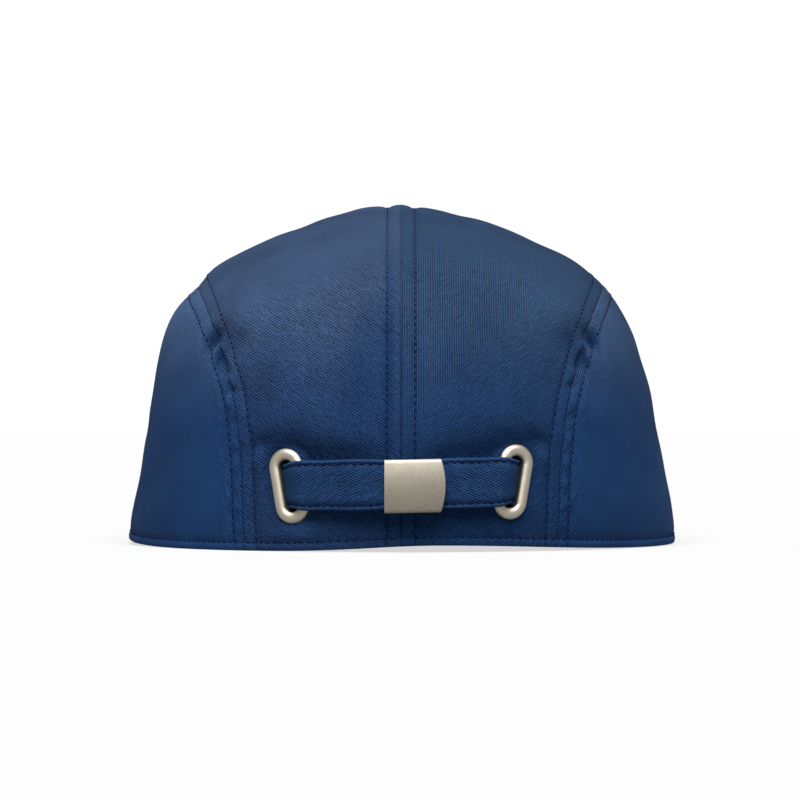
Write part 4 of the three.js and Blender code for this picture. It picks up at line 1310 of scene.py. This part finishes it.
corner = crown_point(math.radians(BILL_CORNER), 0.0)[:2]
widest = before_crown(85.5, 104)
half_rim = np.vstack([
    bezier(corner, before_crown(79, 72), before_crown(85.5, 89), widest, 60),
    bezier(widest, before_crown(85.5, 139), before_crown(56, 168), before_crown(0, 168), 120)[1:],
])
bill_rim = np.vstack([half_rim, (half_rim * [-1, 1])[-2::-1]])
inner_turn = np.radians(np.linspace(BILL_CORNER, 360 - BILL_CORNER, 241))
inner_hem = crown_point(inner_turn, 0.0)[:, :2] - [0, CROWN_Y]
reach = np.linalg.norm(inner_hem, axis=1, keepdims=True)
bill_inner = inner_hem / reach * (reach - BILL_TUCK) + [0, CROWN_Y]
wide, ahead = round(2 * bill_rim[:, 0].max()), round(bill_rim[:, 1].max())
print("the bill is", wide, "mm wide and reaches", ahead, "mm forwards")

# %% Bill
BILL_COLUMNS = 181
BILL_ROWS_MM = [5.0, 11.0, 17.0, 23.0, 29.0]  # the rows of stitches, from the rim
rim, inner = even(bill_rim, BILL_COLUMNS), even(bill_inner, BILL_COLUMNS)
AT_RIM = [0.085, 0.07, 0.055, 0.042, 0.032, 0.024, 0.017, 0.011, 0.006, 0.003, 0]
BILL_SHARES = np.concatenate([np.linspace(0, 0.9, 60), 1 - np.array(AT_RIM)])


def make_bill():
    rows = len(BILL_SHARES)
    slab, column, row, front = flat_slab(BILL_COLUMNS, rows)
    share = BILL_SHARES[row]
    flat = inner[column] + (rim[column] - inner[column]) * share[:, None]
    from_rim, along = along_line(flat, even(bill_rim, 301))
    half = BILL_THICK / 2 * np.sqrt(np.clip(1 - (1 - np.clip(from_rim / 1.9, 0, 1)) ** 2, 0.006, 1))
    # the rows dip into the cloth, but not under the crown
    dips = np.where(share < 0.06, 0, sum(bump_at(from_rim, inset, 0.9) for inset in BILL_ROWS_MM))
    z = BILL_THICK / 2 + np.where(front, half - 0.16 * dips, -half + 0.10 * dips)
    place_slab(slab, np.column_stack([flat, z]))
    piece = finish_piece("bill", slab, bill_twill, True)
    off_row = np.min([np.abs(from_rim - inset) for inset in BILL_ROWS_MM], axis=0)
    rows_uv = np.stack([off_row, along], -1) * MM
    write_on(piece, weave=weave_uv("bill", flat), rows=rows_uv, relief=-dips)


make_bill()

# %% The bill's rows of stitches, above and below
BILL_PITCH, BILL_STITCH = 2.8, 2.1
CLEAR_OF_CROWN = 99  # from the crown's middle: nearer ones would lie under the front panel


def bill_row(inset, above):
    """A row of stitches at one distance from the rim, on the top or the underside."""
    line = even(bill_rim, 1201)
    tangent = np.gradient(line, axis=0)
    normal = np.column_stack([-tangent[:, 1], tangent[:, 0]])
    line = even(line + unit(normal) * inset, 1201)
    outside = np.linalg.norm(line - [0, CROWN_Y], axis=1) > CLEAR_OF_CROWN
    points = np.column_stack([line, np.full(len(line), BILL_THICK - 0.1 if above else 0.2)])
    marks, starts, ends = row_stitches(points, BILL_PITCH, BILL_STITCH)
    spots = [np.stack([np.interp(at, marks, points[:, k]) for k in range(3)], -1) for at in (starts, ends)]
    fits = np.interp((starts + ends) / 2, marks, outside.astype(float)) > 0.99
    out = np.tile([0, 0, 1.0 if above else -1.0], (fits.sum(), 1))
    return spots[0][fits], spots[1][fits], out


sew("bill_stitches", [
    bill_row(inset, above) for inset in BILL_ROWS_MM for above in (True, False)
])

# %% [markdown]
# ## Stage and light
# The cap stands on a plain pale floor in a bright white room, under a broad soft light from above
# and a little from the camera's side, so that the top is pale and the walls fall off darker
# towards the hem; the cloth's paler top is also partly painted sheen.

# %% Floor, room light and softbox
ROOM_LOW, ROOM_HIGH, TABLE_GLOW, KEY = 0.42, 0.05, 0.65, 5.1


def lit_table():
    """White acrylic that is lit from below for the camera alone, so the shadow on it stays pale."""
    m = new_material("lit_white_table")
    place = add_node(m, "TexCoord").outputs["Object"]
    seen = add_node(m, "LightPath").outputs["Is Camera Ray"]
    grain = add_node(m, "TexNoise", {"Vector": place, "Scale": 40.0})
    colour = add_node(m, "Mix", {0: grain, 6: linear("#7a7a7a"), 7: linear("#7e7e7e")}, data_type="RGBA")
    glow = add_node(m, "Math", {0: seen, 1: TABLE_GLOW}, operation="MULTIPLY")
    acrylic = add_node(m, "BsdfPrincipled", {
        "Base Color": colour.outputs[2], "Roughness": 0.9, "Emission Color": (1, 1, 1, 1),
        "Emission Strength": glow,
    })
    add_node(m, "OutputMaterial", {"Surface": acrylic})
    return m


ground = bmesh.new()
bmesh.ops.create_grid(ground, x_segments=1, y_segments=1, size=6)
ground_mesh = bpy.data.meshes.new("floor")
ground.to_mesh(ground_mesh)
ground.free()
ground_mesh.materials.append(lit_table())
put_in_scene("floor", ground_mesh)

room = bpy.data.worlds.new("white_room")
room.use_nodes = True
room.node_tree.nodes.clear()
seen = add_node(room, "LightPath").outputs["Is Camera Ray"]
sky = add_node(room, "TexCoord").outputs["Generated"]
rise = add_node(room, "SeparateXYZ", {0: sky}).outputs["Z"]
fill = add_node(room, "MapRange", {
    "Value": rise, "From Min": 0.0, "From Max": 0.6, "To Min": ROOM_LOW, "To Max": ROOM_HIGH,
})
shown = add_node(room, "Mix", {0: seen, 2: fill, 3: 1.04})
white = add_node(room, "Background", {"Color": (1, 1, 1, 1), "Strength": shown})
add_node(room, "OutputWorld", {"Surface": white})
bpy.context.scene.world = room
bpy.context.scene.view_settings.view_transform = "Standard"
bpy.context.scene.view_settings.look = "None"


def broad_light(name, direction, spread_degrees, strength):
    """A distant light that is as wide as a big softbox close by, and even over the whole table."""
    light = bpy.data.lights.new(name, "SUN")
    light.angle = math.radians(spread_degrees)
    light.energy = strength
    put_in_scene(name, light).rotation_euler = Vector(direction).to_track_quat("-Z", "Y").to_euler()
    print(name, "is", spread_degrees, "degrees wide")


broad_light("overhead_softbox", (0.02, 0.5, -1), 50, KEY)
